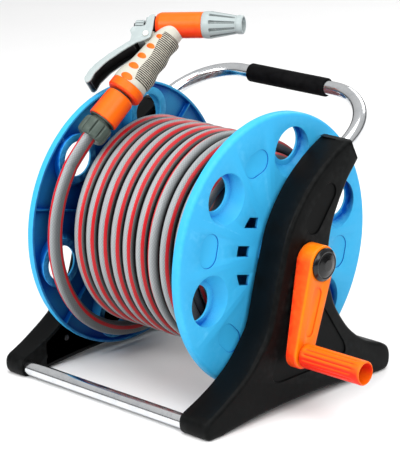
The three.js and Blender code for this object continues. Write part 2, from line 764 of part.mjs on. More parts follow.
function crankArm() {
  const hub = { x: 0, y: 0, r: CRANK_HUB };
  const foot = { x: crankEnd.y, y: crankEnd.z, r: CRANK_END };
  const outline = stadium(hub, foot, 7);
  const inner = outline.map(([y, z]) => {
    const share = THREE.MathUtils.clamp(alongArm(y, z), 0, 1);
    return new THREE.Vector3(CRANK_INNER + 7.2 * share, y, z);
  });
  const arm = loft([
    inner,
    ringAtX(outline, CRANK_FACE - 3),
    ringAtX(inset(outline, 0.9), CRANK_FACE - 0.9),
    ringAtX(inset(outline, 3), CRANK_FACE),
  ]);
  const plug = new THREE.BoxGeometry(14, 2 * SOCKET_HALF, 2 * SOCKET_HALF);
  plug.translate(CRANK_INNER - 5, 0, 0);
  const at = (share, radius) => ({ x: share * crankEnd.y, y: share * crankEnd.z, r: radius });
  const recess = plateX(polygon(stadium(at(0.33, 7), at(0.72, 6))), CRANK_FACE - 1.3, CRANK_FACE + OVER);
  return cut(
    join(arm, solid(plug)),
    recess,
    rodX(9.3, 170, CRANK_FACE + OVER, 0, 0),
    rodX(2.4 + GAP, 140, 175, 0, 0, SMALL),
    rodX(4 + GAP, 160, CRANK_FACE + OVER, crankEnd.y, crankEnd.z, SMALL),
    rodX(7 + GAP, 160, 169, crankEnd.y, crankEnd.z, SMALL),
  );
}

function crankScrew() {
  const profile = [[0, 124], [2.4, 127], [2.4, 170.3], [5, 170.3], [5, 174], [0, 174]];
  return turnedX(profile, SMALL);
}

function crankCap() {
  const face = CRANK_FACE + GAP;
  const profile = [[0, 174.5], [9, 174.5], [9, face], [18, face], [18, face + 1.5], [16.5, face + 4]];
  const dome = [[12, face + 5.6], [6.5, face + 6.6], [0, face + 7]];
  return turnedX([...profile, ...dome]);
}

function crankPin() {
  const profile = [[0, 166], [7, 166], [7, 168.7], [4, 168.7], [4, 237], [7, 237], [7, 240], [0, 240]];
  return solid(latheX(profile, SMALL).translate(0, crankEnd.y, crankEnd.z));
}

function crankGrip() {
  const flutes = 14;
  const pitch = Math.PI / flutes;
  const fluted = Array.from({ length: 2 * flutes }, (_, i) => {
    const radius = CRANK_GRIP_RADIUS - (i % 2 ? 0.9 : 0);
    return [radius * Math.cos(i * pitch), radius * Math.sin(i * pitch)];
  });
  const body = plateX(polygon(fluted), CRANK_GRIP_START + 6, CRANK_GRIP_END - 7);
  const collar = rodX(CRANK_GRIP_RADIUS, CRANK_GRIP_START, CRANK_GRIP_START + 6, 0, 0);
  const rim = rodX(CRANK_GRIP_RADIUS, CRANK_GRIP_END - 7, CRANK_GRIP_END, 0, 0);
  const grip = cut(
    join(body, collar, rim),
    rodX(4 + GAP, CRANK_GRIP_START - OVER, CRANK_GRIP_END, 0, 0, SMALL),
    rodX(CRANK_GRIP_RADIUS - 2, 236.5, CRANK_GRIP_END + OVER, 0, 0),
  );
  return grip.translate([0, crankEnd.y, crankEnd.z]);
}

// ---------------------------------------------------------------- water inlet

function inletAdaptor() {
  const face = -LEFT.outer - GAP;
  const spigotEnd = SEAL_SEAT + GAP;
  const profile = [
    [4, spigotEnd],
    [5.6, spigotEnd],
    [5.6, face],
    [26, face],
    [26, face - INLET_FLANGE],
    [12, face - INLET_FLANGE],
    [11, face - 12],
    [8.8, face - 14],
    [8.8, face - 20],
    [7.4, face - 21],
    [7.4, face - 24],
    [8.8, face - 25],
    [8.2, face - 34],
    [6.5, face - 36],
    [4, face - 36],
    [4, spigotEnd],
  ];
  const holes = [-1, 1].map((side) => {
    const z = side * INLET_SCREW_OFFSET;
    return rodX(SCREW_HOLE, face - INLET_FLANGE - OVER, face + OVER, 0, z, SMALL);
  });
  return cut(turnedX(profile), ...holes).translate([0, 0, AXLE_HEIGHT]);
}

function inletSeal() {
  const ring = new THREE.TorusGeometry(7.4, 1.4, 6, ROUND).rotateY(Math.PI / 2);
  return solid(ring.translate(SEAL_SEAT - 3, 0, AXLE_HEIGHT));
}

// ---------------------------------------------------------------- hose end and snap connector

// The loose last turn: round the coil at a larger radius, then straight into the hose nut.
function hoseLead(gunPoint) {
  const points = [];
  const leave = THREE.MathUtils.degToRad(140);
  const start = THREE.MathUtils.degToRad(300);
  const steps = 26;
  for (let i = 0; i <= steps; i++) {
    const share = i / steps;
    const angle = start + (leave - start) * share;
    const radius = LEAD_RADIUS - 3.5 * Math.max(0, 1 - share * 2.2);
    const height = AXLE_HEIGHT + radius * Math.sin(angle);
    points.push(new THREE.Vector3(LEAD_X, radius * Math.cos(angle), height));
  }
  points.push(gunPoint(0, 0, -14), gunPoint(0, 0, -4.5));
  return swept(new THREE.CatmullRomCurve3(points), HOSE_RADIUS, 34, 5);
}

function hoseNut() {
  const lobes = 10;
  const outline = Array.from({ length: 4 * lobes }, (_, i) => {
    const radius = [16.8, 16.8, 15.2, 15.2][i % 4];
    const angle = (2 * Math.PI * i) / (4 * lobes);
    return [radius * Math.cos(angle), radius * Math.sin(angle)];
  });
  const ring = (grow, z) => inset(outline, -grow).map(([x, y]) => new THREE.Vector3(x, y, z));
  const body = loft([ring(-3, -12), ring(0, -8.5), ring(0, 5), ring(-1.3, 7)]);
  return cut(body, rodZ(HOSE_RADIUS + GAP, -13, 8), rodZ(11.5 + GAP, -3, 8));
}

function connectorBody() {
  const profile = [
    [3.5, -4],
    [5.5, -4],
    [5.5, -2.5],
    [11.5, -2.5],
    [11.5, 10.5],
    [15, 10.5],
    [15, 14],
    [12.5, 14],
    [12.5, 44.5],
    [9.2, 44.5],
    [9.2, 18],
    [3.5, 18],
    [3.5, -4],
  ];
  return turnedZ(profile);
}

function connectorCollar() {
  const profile = [
    [15.3, 11.8],
    [16.4, 11.5],
    [17, 12.5],
    [16.5, 30],
    [16.2, 43],
    [15.4, 45],
    [12.8, 45],
    [12.8, 20],
    [15.3, 18],
    [15.3, 11.8],
  ];
  return turnedZ(profile);
}

const connectorSeal = () => ringZ(7.9, 1.1, 24);
const connectorJaws = () => turnedZ(tubeProfile(12.4, 9.3, 45, 46.8), ROUND);

// ---------------------------------------------------------------- spray gun

function gunPlug() {
  const profile = [
    [3.5, 19],
    [6, 19],
    [6.4, 28],
    [8.6, 31],
    [8.6, 36],
    [7.4, 37],
    [7.4, 40],
    [8.8, 41],
    [8.8, 50],
    [15, 50],
    [15, 53],
    [3.5, 53],
    [3.5, 19],
  ];
  return turnedZ(profile);
}

function gripRing() {
  const outside = [[9.1, 48], [18.6, 48], [20, 49.5], [20, 58], [19.4, 59.5]];
  const inside = [[15.4, 59.5], [15.4, 49.7], [9.1, 49.7], [9.1, 48]];
  return turnedZ([...outside, ...inside]);
}

// Half width of the grip at a height, from the ring up to the barrel.
function gripRadius(z) {
  const share = (z - 60) / 82;
  return 19.2 - 9.4 * share + 3.2 * share ** 2;
}

function gripSections(grow, start, end, count, wave = 0) {
  return Array.from({ length: count }, (_, i) => {
    const z = start + ((end - start) * i) / (count - 1);
    const radius = gripRadius(z) + grow + wave * Math.sin(((z - start) / 24) * 2 * Math.PI);
    return circlePoints(0, 0, radius, 16).map(([x, y]) => new THREE.Vector3(x, 0.94 * y, z));
  });
}

// Turns a solid made along Z at the origin into the barrel's direction.
function alongBarrel(body) {
  return body.rotate([0, THREE.MathUtils.radToDeg(BARREL_ANGLE), 0]).translate([0, 0, HEAD_Z]);
}

// The front half of the grip's space, behind which the light grey shell shows.
function insertSpace(grow) {
  const outline = polygon([
    [4 - grow, 66 - grow],
    [30, 66 - grow],
    [30, 122],
    [15, 131 + grow],
    [6 - grow, 128 + grow],
    [-1 - grow, 96],
  ]);
  return plateY(outline, -30, 30);
}

function gripInsert() {
  const skin = loft(gripSections(0.8, 60, 140, 11, 0.8));
  const core = loft(gripSections(-2.2, 58, 142, 6));
  const shell = cut(skin, core).intersect(insertSpace(0));
  return cut(shell, alongBarrel(rodZ(BARREL_RADIUS + 1, BARREL_BACK - 10, BARREL_FRONT + 20)));
}

function gunGrip() {
  const outer = loft(gripSections(0, 59.8, 150, 8));
  const lug = polygon([[-8, 106], [-17, 111], [-22.5, 114], [-23, 119], [-18, 124], [-8, 130]]);
  const pocket = cut(insertSpace(GAP), loft(gripSections(-2.2 - GAP, 50, 160, 6)));
  return cut(
    join(outer, plateY(lug, -7, 7)),
    pocket,
    alongBarrel(rodZ(BARREL_RADIUS + GAP, BARREL_BACK - OVER, BARREL_FRONT + 20)),
    alongBarrel(rodZ(GLAND_RADIUS + 1.5, BARREL_BACK - 20, BARREL_BACK)),
    rodZ(6, 55, 135, SMALL),
    triggerRod(2 + GAP, TRIGGER_HALF_WIDTH + 5),
  );
}

function gunBarrel() {
  const profile = [
    [9, BARREL_BACK],
    [12.6, BARREL_BACK],
    [BARREL_RADIUS, BARREL_BACK + 3.5],
    [BARREL_RADIUS, BARREL_FRONT],
    [11.4, BARREL_FRONT],
    [11.4, BARREL_FRONT + 12],
    [4.2, BARREL_FRONT + 12],
    [4.2, BARREL_FRONT - 3],
    [10.2, BARREL_FRONT - 6],
    [10.2, BARREL_BACK + 9],
    [9, BARREL_BACK + 9],
    [9, BARREL_BACK],
  ];
  const inlet = rodZ(6, HEAD_Z - 18, HEAD_Z, SMALL);
  return cut(alongBarrel(turnedZ(profile)), inlet);
}

const GLAND_RADIUS = 10;

function packingGland() {
  const back = BARREL_BACK - 8;
  const profile = [
    [3.3, back],
    [8.5, back],
    [GLAND_RADIUS, back + 1.5],
    [GLAND_RADIUS, BARREL_BACK - GAP],
    [8.7, BARREL_BACK - GAP],
    [8.7, BARREL_BACK + 8],
    [5.4, BARREL_BACK + 8],
    [5.4, BARREL_BACK + 3],
    [3.3, BARREL_BACK + 3],
    [3.3, back],
  ];
  return alongBarrel(turnedZ(profile));
}

const stemSeal = () => alongBarrel(ringZ(4.35, 0.95, BARREL_BACK + 5));

function valveStem() {
  const profile = [
    [0, -49],
    [3, -49],
    [3, 6],
    [7.5, 6],
    [7.5, 8],
    [3, 8],
    [3, 20],
    [7.5, 20],
    [7.5, 22.5],
    [3.4, 26],
    [0, 26],
  ];
  return alongBarrel(turnedZ(profile));
}

function valveSpring() {
  const turns = 5;
  const start = BARREL_BACK + 10.5;
  const end = 4.8;
  const steps = 40;
  const points = Array.from({ length: steps + 1 }, (_, i) => {
    const angle = (2 * Math.PI * turns * i) / steps;
    const along = start + ((end - start) * i) / steps;
    return new THREE.Vector3(6.5 * Math.cos(angle), 6.5 * Math.sin(angle), along);
  });
  return alongBarrel(swept(new THREE.CatmullRomCurve3(points), 0.7, 40, 2));
}

function flowKnob() {
  const ridges = 10;
  const outline = circlePoints(0, 0, 6.4, 2 * ridges).map(([x, y], i) => {
    const shrink = i % 2 ? 0.9 : 1;
    return [x * shrink, y * shrink];
  });
  const ring = (scale, z) => outline.map(([x, y]) => new THREE.Vector3(x * scale, y * scale, z));
  const body = loft([ring(0.85, -47), ring(1, -46), ring(1, -38), ring(0.9, -36.8)]);
  return alongBarrel(cut(body, rodZ(3 + GAP, -50, -30, SMALL)));
}

function nozzle() {
  const flutes = 12;
  const ring = (radius, depth, z) =>
    Array.from({ length: 3 * flutes }, (_, i) => {
      const angle = (2 * Math.PI * i) / (3 * flutes);
      const reach = radius - (i % 3 === 2 ? depth : 0);
      return new THREE.Vector3(reach * Math.cos(angle), reach * Math.sin(angle), z);
    });
  const start = BARREL_FRONT + GAP;
  const body = loft([
    ring(14.3, 0, start),
    ring(15, 0, start + 7),
    ring(14.6, 1.4, start + 10),
    ring(10.4, 1.2, NOZZLE_END - 8),
    ring(9.4, 0, NOZZLE_END - 5),
    ring(9.6, 0, NOZZLE_END),
  ]);
  const bore = turnedZ([
    [0, start - 1],
    [11.4 + GAP, start - 1],
    [11.4 + GAP, BARREL_FRONT + 16],
    [5, BARREL_FRONT + 24],
    [4, NOZZLE_END - 12],
    [7.4, NOZZLE_END - 6],
    [7.6, NOZZLE_END + 1],
    [0, NOZZLE_END + 1],
  ]);
  return alongBarrel(cut(body, bore));
}

const nozzleSeal = () => alongBarrel(ringZ(9.4, 1.2, BARREL_FRONT + 13.9));

// ---------------------------------------------------------------- trigger

// A rod across the gun through the trigger's pivot.
function triggerRod(radius, half) {
  const rod = latheZ(rodProfile(radius, -half, half), SMALL).rotateX(Math.PI / 2);
  return solid(rod.translate(TRIGGER_PIVOT.x, 0, TRIGGER_PIVOT.z));
}

// A point given along the barrel and square to it, in the gun's XZ plane.
function barrelPoint(along, square) {
  return [
    along * Math.sin(BARREL_ANGLE) - square * Math.cos(BARREL_ANGLE),
    HEAD_Z + along * Math.cos(BARREL_ANGLE) + square * Math.sin(BARREL_ANGLE),
  ];
}

const YOKE_FRONT = -30.6;
const YOKE_BACK = -33;

function trigger() {
  const leverInner = [
    [-10.6, 116.5], [-13.5, 111], [-20.4, 102.9],
    [-27.5, 87.4], [-35.3, 65.8], [-37.6, 49.3],
  ];
  const tip = [[-36, 40.5], [-37, 37], [-41, 35.5], [-44.2, 40]];
  const leverOuter = [[-45.2, 50], [-44.2, 58.3], [-38.7, 76.3], [-31.4, 93.7], [-27.6, 102]];
  const lobe = [[-31, 108], [-36, 111.5], [-36.5, 115.5], [-34, 118.8], [-27.5, 122.3]];
  const arm = [[-31.5, -6], [-31.2, 3], [-28, 6.5], [-23.3, 7.5], [-23.3, -11]];
  const upper = arm.map(([along, square]) => barrelPoint(along, square));
  const cheek = polygon([...leverInner, ...tip, ...leverOuter, ...lobe, ...upper]);
  const inside = TRIGGER_HALF_WIDTH - TRIGGER_WALL;
  const webInner = [[-25.6, 101.2], [-29.5, 93], [-36.8, 75.6], [-42.2, 58], [-43.1, 50]];
  const webTip = [[-42.2, 41], [-40.3, 37.7], [-38.7, 38.4], [-37.9, 41]];
  const web = polygon([...tip, ...leverOuter, ...webInner, ...webTip]);
  const yoke = polygon([
    barrelPoint(YOKE_FRONT, -7),
    barrelPoint(YOKE_BACK, -7),
    barrelPoint(YOKE_BACK, 4.5),
    barrelPoint(YOKE_FRONT, 4.5),
  ]);
  const slot = alongBarrel(rodZ(4.4, YOKE_BACK - 3, YOKE_FRONT + 3, SMALL));
  return cut(
    join(
      plateY(cheek, -TRIGGER_HALF_WIDTH, -inside),
      plateY(cheek, inside, TRIGGER_HALF_WIDTH),
      plateY(web, -inside - 0.1, inside + 0.1),
      plateY(yoke, -inside - 0.1, inside + 0.1),
    ),
    slot,
    triggerRod(2 + GAP, TRIGGER_HALF_WIDTH + 5),
  );
}

function triggerPin() {
  const half = TRIGGER_HALF_WIDTH + 0.6;
  const profile = [[0, -half - 1], [3.2, -half - 0.6], [3.2, -half], [2, -half], [2, half], [0, half]];
  const pin = latheZ(profile, SMALL).rotateX(-Math.PI / 2);
  return solid(pin.translate(TRIGGER_PIVOT.x, 0, TRIGGER_PIVOT.z));
}

// ---------------------------------------------------------------- assembly

function stand() {
  const group = new THREE.Group();
  const sides = [["right", RIGHT, (body) => body], ["left", LEFT, mirrored]];
  group.add(piece("right_side_frame", sideFrame(RIGHT), frameBlack));
  group.add(piece("left_side_frame", leftSideFrame(), frameBlack));
  sides.forEach(([side, sizes, place]) => {
    group.add(piece(`${side}_inner_cover`, place(innerCover(sizes)), frameBlack));
    group.add(piece(`${side}_bearing_bush`, place(bush(sizes)), acetal));
    const head = FRAME_INNER + 0.1 - SCREW_HEAD; // just clear of the cover's outer face
    COVER_SCREWS.forEach(([y, z], i) => {
      const screw = screwX(head, SCREW_LENGTH, y, z);
      group.add(piece(`${side}_cover_screw_${i + 1}`, place(screw), steel));
    });
    const handleScrew = screwX(head, SCREW_LENGTH, ...HANDLE_SCREW);
    group.add(piece(`${side}_handle_screw`, place(handleScrew), steel));
  });
  group.add(piece("front_bar", bar(FRONT_BAR_Y), polished));
  group.add(piece("rear_bar", bar(REAR_BAR_Y), polished));
  group.add(piece("handle_tube", handleTube(), polished));
  group.add(piece("handle_grip", handleGrip(), softBlack));
  group.add(piece("inlet_adaptor", inletAdaptor(), nutGrey));
  group.add(piece("inlet_seal", inletSeal(), sealRubber));
  ["lower", "upper"].forEach((name, i) => {
    const z = AXLE_HEIGHT + (i ? 1 : -1) * INLET_SCREW_OFFSET;
    const head = -LEFT.outer - INLET_FLANGE - 2 * GAP - SCREW_HEAD;
    group.add(piece(`${name}_inlet_screw`, screwX(head, 14, 0, z), steel));
  });
  return group;
}

function reel() {
  const group = new THREE.Group();
  group.position.set(0, 0, AXLE_HEIGHT);
  group.add(piece("right_flange", flange(), flangeBlue));
  group.add(piece("left_flange", mirrored(flange()), flangeBlue));
  group.add(piece("drum_barrel", drumBarrel(), flangeBlue));
  group.add(piece("hose_coil", hoseCoil(), hoseGrey));
  group.add(piece("drive_axle", driveAxle(), acetal));
  group.add(piece("hollow_axle", hollowAxle(), acetal));
  group.add(piece("drum_elbow", drumElbow(), nutGrey));
  group.add(piece("inner_hose_nut", innerHoseNut(), nutGrey));
  group.add(piece("inner_hose", innerHose(), hoseGrey));
  group.add(piece("crank_arm", crankArm(), orange));
  group.add(piece("crank_screw", crankScrew(), steel));
  group.add(piece("crank_cap", crankCap(), frameBlack));
  group.add(piece("crank_pin", crankPin(), steel));
  group.add(piece("crank_grip", crankGrip(), redOrange));
  return group;
}

function gunFrame() {
  const z = GUN_AXIS;
  const y = z.clone().cross(GUN_FRONT).normalize();
  const x = y.clone().cross(z);
  return new THREE.Matrix4().makeBasis(x, y, z).setPosition(GUN_ORIGIN);
}

function sprayGun() {
  const group = new THREE.Group();
  group.applyMatrix4(gunFrame());
  group.add(piece("hose_nut", hoseNut(), nutGrey));
  group.add(piece("connector_body", connectorBody(), nutGrey));
  group.add(piece("connector_collar", connectorCollar(), orange));
  group.add(piece("connector_seal", connectorSeal(), sealRubber));
  group.add(piece("connector_jaws", connectorJaws(), nutGrey));
  group.add(piece("gun_plug", gunPlug(), nutGrey));
  group.add(piece("grip_ring", gripRing(), orange));
  group.add(piece("gun_grip", gunGrip(), gunGrey));
  group.add(piece("grip_insert", gripInsert(), ribRubber));
  group.add(piece("gun_barrel", gunBarrel(), orange));
  group.add(piece("packing_gland", packingGland(), softBlack));
  group.add(piece("stem_seal", stemSeal(), sealRubber));
  group.add(piece("valve_stem", valveStem(), steel));
  group.add(piece("valve_spring", valveSpring(), steel));
  group.add(piece("flow_knob", flowKnob(), gunGrey));
  group.add(piece("nozzle", nozzle(), gunGrey));
  group.add(piece("nozzle_seal", nozzleSeal(), sealRubber));
  group.add(piece("trigger", trigger(), gunGrey));
  group.add(piece("trigger_pin", triggerPin(), steel));
  return group;
}

function hoseReel() {
  const group = new THREE.Group();
  const gunPoint = (x, y, z) => new THREE.Vector3(x, y, z).applyMatrix4(gunFrame());
  group.add(stand(), reel(), sprayGun());
  group.add(piece("hose_lead", hoseLead(gunPoint), hoseGrey));
  group.position.x = TO_MIDDLE;
  return group;
}

export default hoseReel();
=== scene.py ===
"""Garden hose reel with a spray gun: the looks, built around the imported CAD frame.

Shapes are written in millimetres about the middle of the axle, and become metres in their real
place in make_object. X runs along the axle towards the crank, the front bar is at -Y, +Z is up.
"""

import json
import math

import bmesh
import bpy
from mathutils import Matrix, Vector


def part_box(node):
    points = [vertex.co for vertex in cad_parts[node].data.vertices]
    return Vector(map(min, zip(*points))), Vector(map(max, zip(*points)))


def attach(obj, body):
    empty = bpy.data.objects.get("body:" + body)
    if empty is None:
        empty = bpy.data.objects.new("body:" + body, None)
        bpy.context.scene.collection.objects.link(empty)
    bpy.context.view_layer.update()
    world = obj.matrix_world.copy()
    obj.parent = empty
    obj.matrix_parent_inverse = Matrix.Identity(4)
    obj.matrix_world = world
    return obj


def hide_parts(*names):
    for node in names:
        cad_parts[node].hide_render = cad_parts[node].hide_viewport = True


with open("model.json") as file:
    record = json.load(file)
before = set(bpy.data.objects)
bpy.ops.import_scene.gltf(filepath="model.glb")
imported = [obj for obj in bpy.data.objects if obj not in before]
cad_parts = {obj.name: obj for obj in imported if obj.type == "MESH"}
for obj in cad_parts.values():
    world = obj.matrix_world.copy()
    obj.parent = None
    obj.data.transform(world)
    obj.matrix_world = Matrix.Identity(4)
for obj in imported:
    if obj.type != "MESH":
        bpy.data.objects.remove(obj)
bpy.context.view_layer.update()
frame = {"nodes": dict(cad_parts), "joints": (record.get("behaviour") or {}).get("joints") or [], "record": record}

MM = 0.001


# ------------------------------------------------------------------ places taken from the frame

def joint(name):
    return next(j for j in frame["joints"] if j["name"] == name)


# The script's own X = 0 is the middle of the axle.
HOME = Matrix.Translation((joint("reel_spin")["pos_m"][0], 0, 0))


def to_script(point):
    return HOME.inverted() @ Vector(point) / MM


def box_mm(node):
    low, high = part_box(node)
    return to_script(low), to_script(high)


AXLE_Z = joint("reel_spin")["pos_m"][2] / MM
CRANK_PIN = to_script(joint("crank_grip_spin")["pos_m"])
FLANGE_LOW, FLANGE_HIGH = box_mm("right_flange")
FLANGE_RADIUS = (FLANGE_HIGH.z - FLANGE_LOW.z) / 2
HUB_FACE = FLANGE_HIGH.x
FRAME_INNER, FRAME_OUTER = (corner.x for corner in box_mm("right_side_frame"))
LEFT_OUTER = -box_mm("left_side_frame")[0].x
COIL_LOW, COIL_HIGH = box_mm("hose_coil")
COIL_RADIUS = (COIL_HIGH.z - COIL_LOW.z) / 2
FRONT_BAR_LOW, FRONT_BAR_HIGH = box_mm("front_bar")
REAR_BAR_LOW, REAR_BAR_HIGH = box_mm("rear_bar")
TUBE_RADIUS = (FRONT_BAR_HIGH.z - FRONT_BAR_LOW.z) / 2
HANDLE_LOW, HANDLE_HIGH = box_mm("handle_tube")
RIGHT_LEG = HANDLE_HIGH.x - TUBE_RADIUS
LEFT_LEG = -HANDLE_LOW.x - TUBE_RADIUS
GRIP_LOW, GRIP_HIGH = box_mm("handle_grip")
CRANK_FACE = box_mm("crank_arm")[1].x
CRANK_GRIP_LOW, CRANK_GRIP_HIGH = box_mm("crank_grip")

# The gun's own frame: origin at the hose nut, z along the grip, x towards the nozzle.
GUN_Z = Vector(joint("gun_swivel")["axis"]).normalized()
GUN_Y = -Vector(joint("trigger_squeeze")["axis"]).normalized()
GUN_X = GUN_Y.cross(GUN_Z).normalized()
GUN_AXES = Matrix((GUN_X, GUN_Y, GUN_Z)).transposed().to_4x4()
GUN_PLACE = Matrix.Translation(to_script(joint("gun_swivel")["pos_m"]) * MM) @ GUN_AXES
PIVOT = GUN_PLACE.inverted() @ (to_script(joint("trigger_squeeze")["pos_m"]) * MM) / MM
HEAD_Z = (GUN_PLACE.inverted() @ (to_script(joint("nozzle_twist")["pos_m"]) * MM) / MM).z
BARREL_ANGLE = GUN_Z.angle(Vector(joint("nozzle_twist")["axis"]))
BARREL_PLACE = GUN_PLACE @ Matrix.Translation((0, 0, HEAD_Z * MM)) @ Matrix.Rotation(BARREL_ANGLE, 4, "Y")
REEL_PLACE = Matrix.Translation((0, 0, AXLE_Z * MM))

# ------------------------------------------------------------------ sizes in millimetres, angles in radians

HOSE_RADIUS = 8
HOSE_PITCH = 18.3
HOSE_LAYERS = 3
LAYER_STEP = 13.9
LEAD_RADIUS = 131
LEAD_X = -88

FLANGE_FACE = 113
FLANGE_WALL = 2.8
FLANGE_LIP = 103
RIM_ROUND = 8
HUB_RADIUS = 26
HUB_INNER = 100.3
BORE_RADIUS = 15.3
OPENING_COUNT = 6
OPENING_START = math.radians(16.5)
OPENING_RING = 116
OPENING_RADIUS = 19.5
LEDGE_RADIUS = 25
MOUTH_RADIUS = 27.5
MOUTH_SHIFT = 8.8
CUP_FLOOR = 101.5
CUP_WALL = 2.4
PANEL_START = math.radians(47)
PANEL_RING = 107
PANEL_LENGTH = 37
PANEL_WIDTH = 26
PANEL_DEPTH = 0.9
RIB_HEIGHT = 6
RIB_THICKNESS = 1.8
SLOT_TILT = math.radians(-13)
SLOT_PITCH = 30.5
SLOT_HEIGHT = 11.5
SLOT_OUTER = 62.5
DRUM_INNER = 70.5
DRUM_OUTER = 73.5

ARCH_HEIGHT = 8
EDGE_ROUND = 5
BUSH_RADIUS = 18
CRANK_HUB = 20
CRANK_END = 15.5
BARREL_RADIUS = 14.3
BARREL_BACK = -22
BARREL_FRONT = 30
NOZZLE_END = 75
TRIGGER_HALF = 12.3
TRIGGER_WALL = 1.9


# ------------------------------------------------------------------ mesh tools

def new_object(name, data):
    obj = bpy.data.objects.new(name, data)
    bpy.context.scene.collection.objects.link(obj)
    return obj


def make_object(name, vertices, faces, place=None, smooth=30):
    mesh = bpy.data.meshes.new(name)
    mesh.from_pydata([tuple(c * MM for c in v) for v in vertices], [], faces)
    obj = new_object(name, mesh)
    obj.matrix_world = HOME if place is None else HOME @ place
    tidy_normals(obj, smooth)
    return obj


def tidy_normals(obj, smooth=30):
    """Turns the faces outwards and shades smooth, except over edges sharper than the angle."""
    work = bmesh.new()
    work.from_mesh(obj.data)
    bmesh.ops.recalc_face_normals(work, faces=work.faces)
    limit = math.radians(smooth)
    for face in work.faces:
        face.smooth = True
    for edge in work.edges:
        edge.smooth = len(edge.link_faces) == 2 and edge.calc_face_angle(0) < limit
    work.to_mesh(obj.data)
    work.free()


def apply_modifiers(obj):
    bpy.context.view_layer.update()
    evaluated = obj.evaluated_get(bpy.context.evaluated_depsgraph_get())
    mesh = bpy.data.meshes.new_from_object(evaluated)
    old = obj.data
    obj.modifiers.clear()
    obj.data = mesh
    bpy.data.meshes.remove(old)


def combine(obj, others, operation):
    for other in others:
        step = obj.modifiers.new("step", "BOOLEAN")
        step.operation = operation
        step.solver = "MANIFOLD"
        step.object = other
    apply_modifiers(obj)
    for other in others:
        bpy.data.objects.remove(other)
    return obj


def carve(obj, cutters):
    return combine(obj, cutters, "DIFFERENCE")


def weld(obj, others):
    return combine(obj, others, "UNION")


def soften(obj, width, segments=2, angle=35, smooth=32):
    """Rounds the sharp edges by a width in millimetres."""
    step = obj.modifiers.new("soften", "BEVEL")
    step.width = width * MM
    step.segments = segments
    step.limit_method = "ANGLE"
    step.angle_limit = math.radians(angle)
    step.use_clamp_overlap = True
    step.miter_outer = "MITER_ARC"
    apply_modifiers(obj)
    tidy_normals(obj, smooth)
    return obj


def merge_close(obj, distance=0.01):
    work = bmesh.new()
    work.from_mesh(obj.data)
    bmesh.ops.remove_doubles(work, verts=work.verts, dist=distance * MM)
    bmesh.ops.dissolve_degenerate(work, edges=work.edges, dist=distance * MM)
    work.to_mesh(obj.data)
    work.free()


def rounded(corners, closed=False, steps=5):
    """An outline with round corners. Each corner is (x, y) or (x, y, radius)."""
    points = []
    for i, corner in enumerate(corners):
        here = Vector(corner[:2])
        radius = corner[2] if len(corner) > 2 else 0
        at_end = not closed and i in (0, len(corners) - 1)
        if radius == 0 or at_end:
            points.append(tuple(here))
            continue
        before = Vector(corners[i - 1][:2]) - here
        after = Vector(corners[(i + 1) % len(corners)][:2]) - here
        spread = math.tan(before.angle(after) / 2)
        reach = min(radius / spread, 0.48 * before.length, 0.48 * after.length)
        start = here + before.normalized() * reach
        end = here + after.normalized() * reach
        for k in range(steps + 1):
            t = k / steps
            points.append(tuple(start * (1 - t) ** 2 + here * 2 * t * (1 - t) + end * t ** 2))
    return points


def lathe(name, profile, segments=96, place=None, axis="X", smooth=30):
    """Turns a profile of (radius, distance along the axis); it ends on the axis or closes on itself."""
    vertices, rings = [], []

    def point(radius, along, angle):
        across = (radius * math.cos(angle), radius * math.sin(angle))
        return (along, *across) if axis == "X" else (*across, along)

    for radius, along in profile:
        count = 1 if radius < 1e-6 else segments
        rings.append(range(len(vertices), len(vertices) + count))
        vertices += [point(radius, along, 2 * math.pi * i / segments) for i in range(count)]
    pairs = list(zip(rings, rings[1:]))
    if len(rings[0]) > 1:
        pairs.append((rings[-1], rings[0]))
    faces = []
    for low, high in pairs:
        for i in range(segments):
            j = (i + 1) % segments
            corners = [low[i % len(low)], low[j % len(low)], high[j % len(high)], high[i % len(high)]]
            face = list(dict.fromkeys(corners))
            if len(face) > 2:
                faces.append(face)
    return make_object(name, vertices, faces, place, smooth)


def loft(name, rings, place=None, smooth=30):
    """A closed body through rings of points that all have the same number of points."""
    count = len(rings[0])
    vertices = [p for ring in rings for p in ring]
    faces = [list(reversed(range(count)))]
    for r in range(len(rings) - 1):
        for i in range(count):
            a, b = r * count + i, r * count + (i + 1) % count
            faces.append([a, b, b + count, a + count])
    last = (len(rings) - 1) * count
    faces.append(list(range(last, last + count)))
    return make_object(name, vertices, faces, place, smooth)


def at_x(points, x):
    return [(x, y, z) for y, z in points]


def at_y(points, y):
    return [(x, y, z) for x, z in points]


def plate_x(outline, start, end, place=None):
    return loft("plate", [at_x(outline, start), at_x(outline, end)], place)


def recess(outline, top, depth, place=None, rim=0.5):
    """Cuts a shallow recess whose upper edge is chamfered."""
    wide = inset(outline, -rim)
    sections = ((outline, top - depth), (outline, top - rim), (wide, top), (wide, top + 1))
    return loft("recess", [at_x(points, x) for points, x in sections], place)


def plate_y(outline, start, end, place=None):
    return loft("plate", [at_y(outline, start), at_y(outline, end)], place)


def rod(radius, start, end, place=None, axis="X", segments=48):
    return lathe("rod", [(0, start), (radius, start), (radius, end), (0, end)], segments, place, axis)


def shift(x=0, y=0, z=0):
    return Matrix.Translation((x * MM, y * MM, z * MM))


def across_middle(low, high):
    """The place of something turned about the X line through the middle of a box."""
    return shift(0, (low.y + high.y) / 2, (low.z + high.z) / 2)


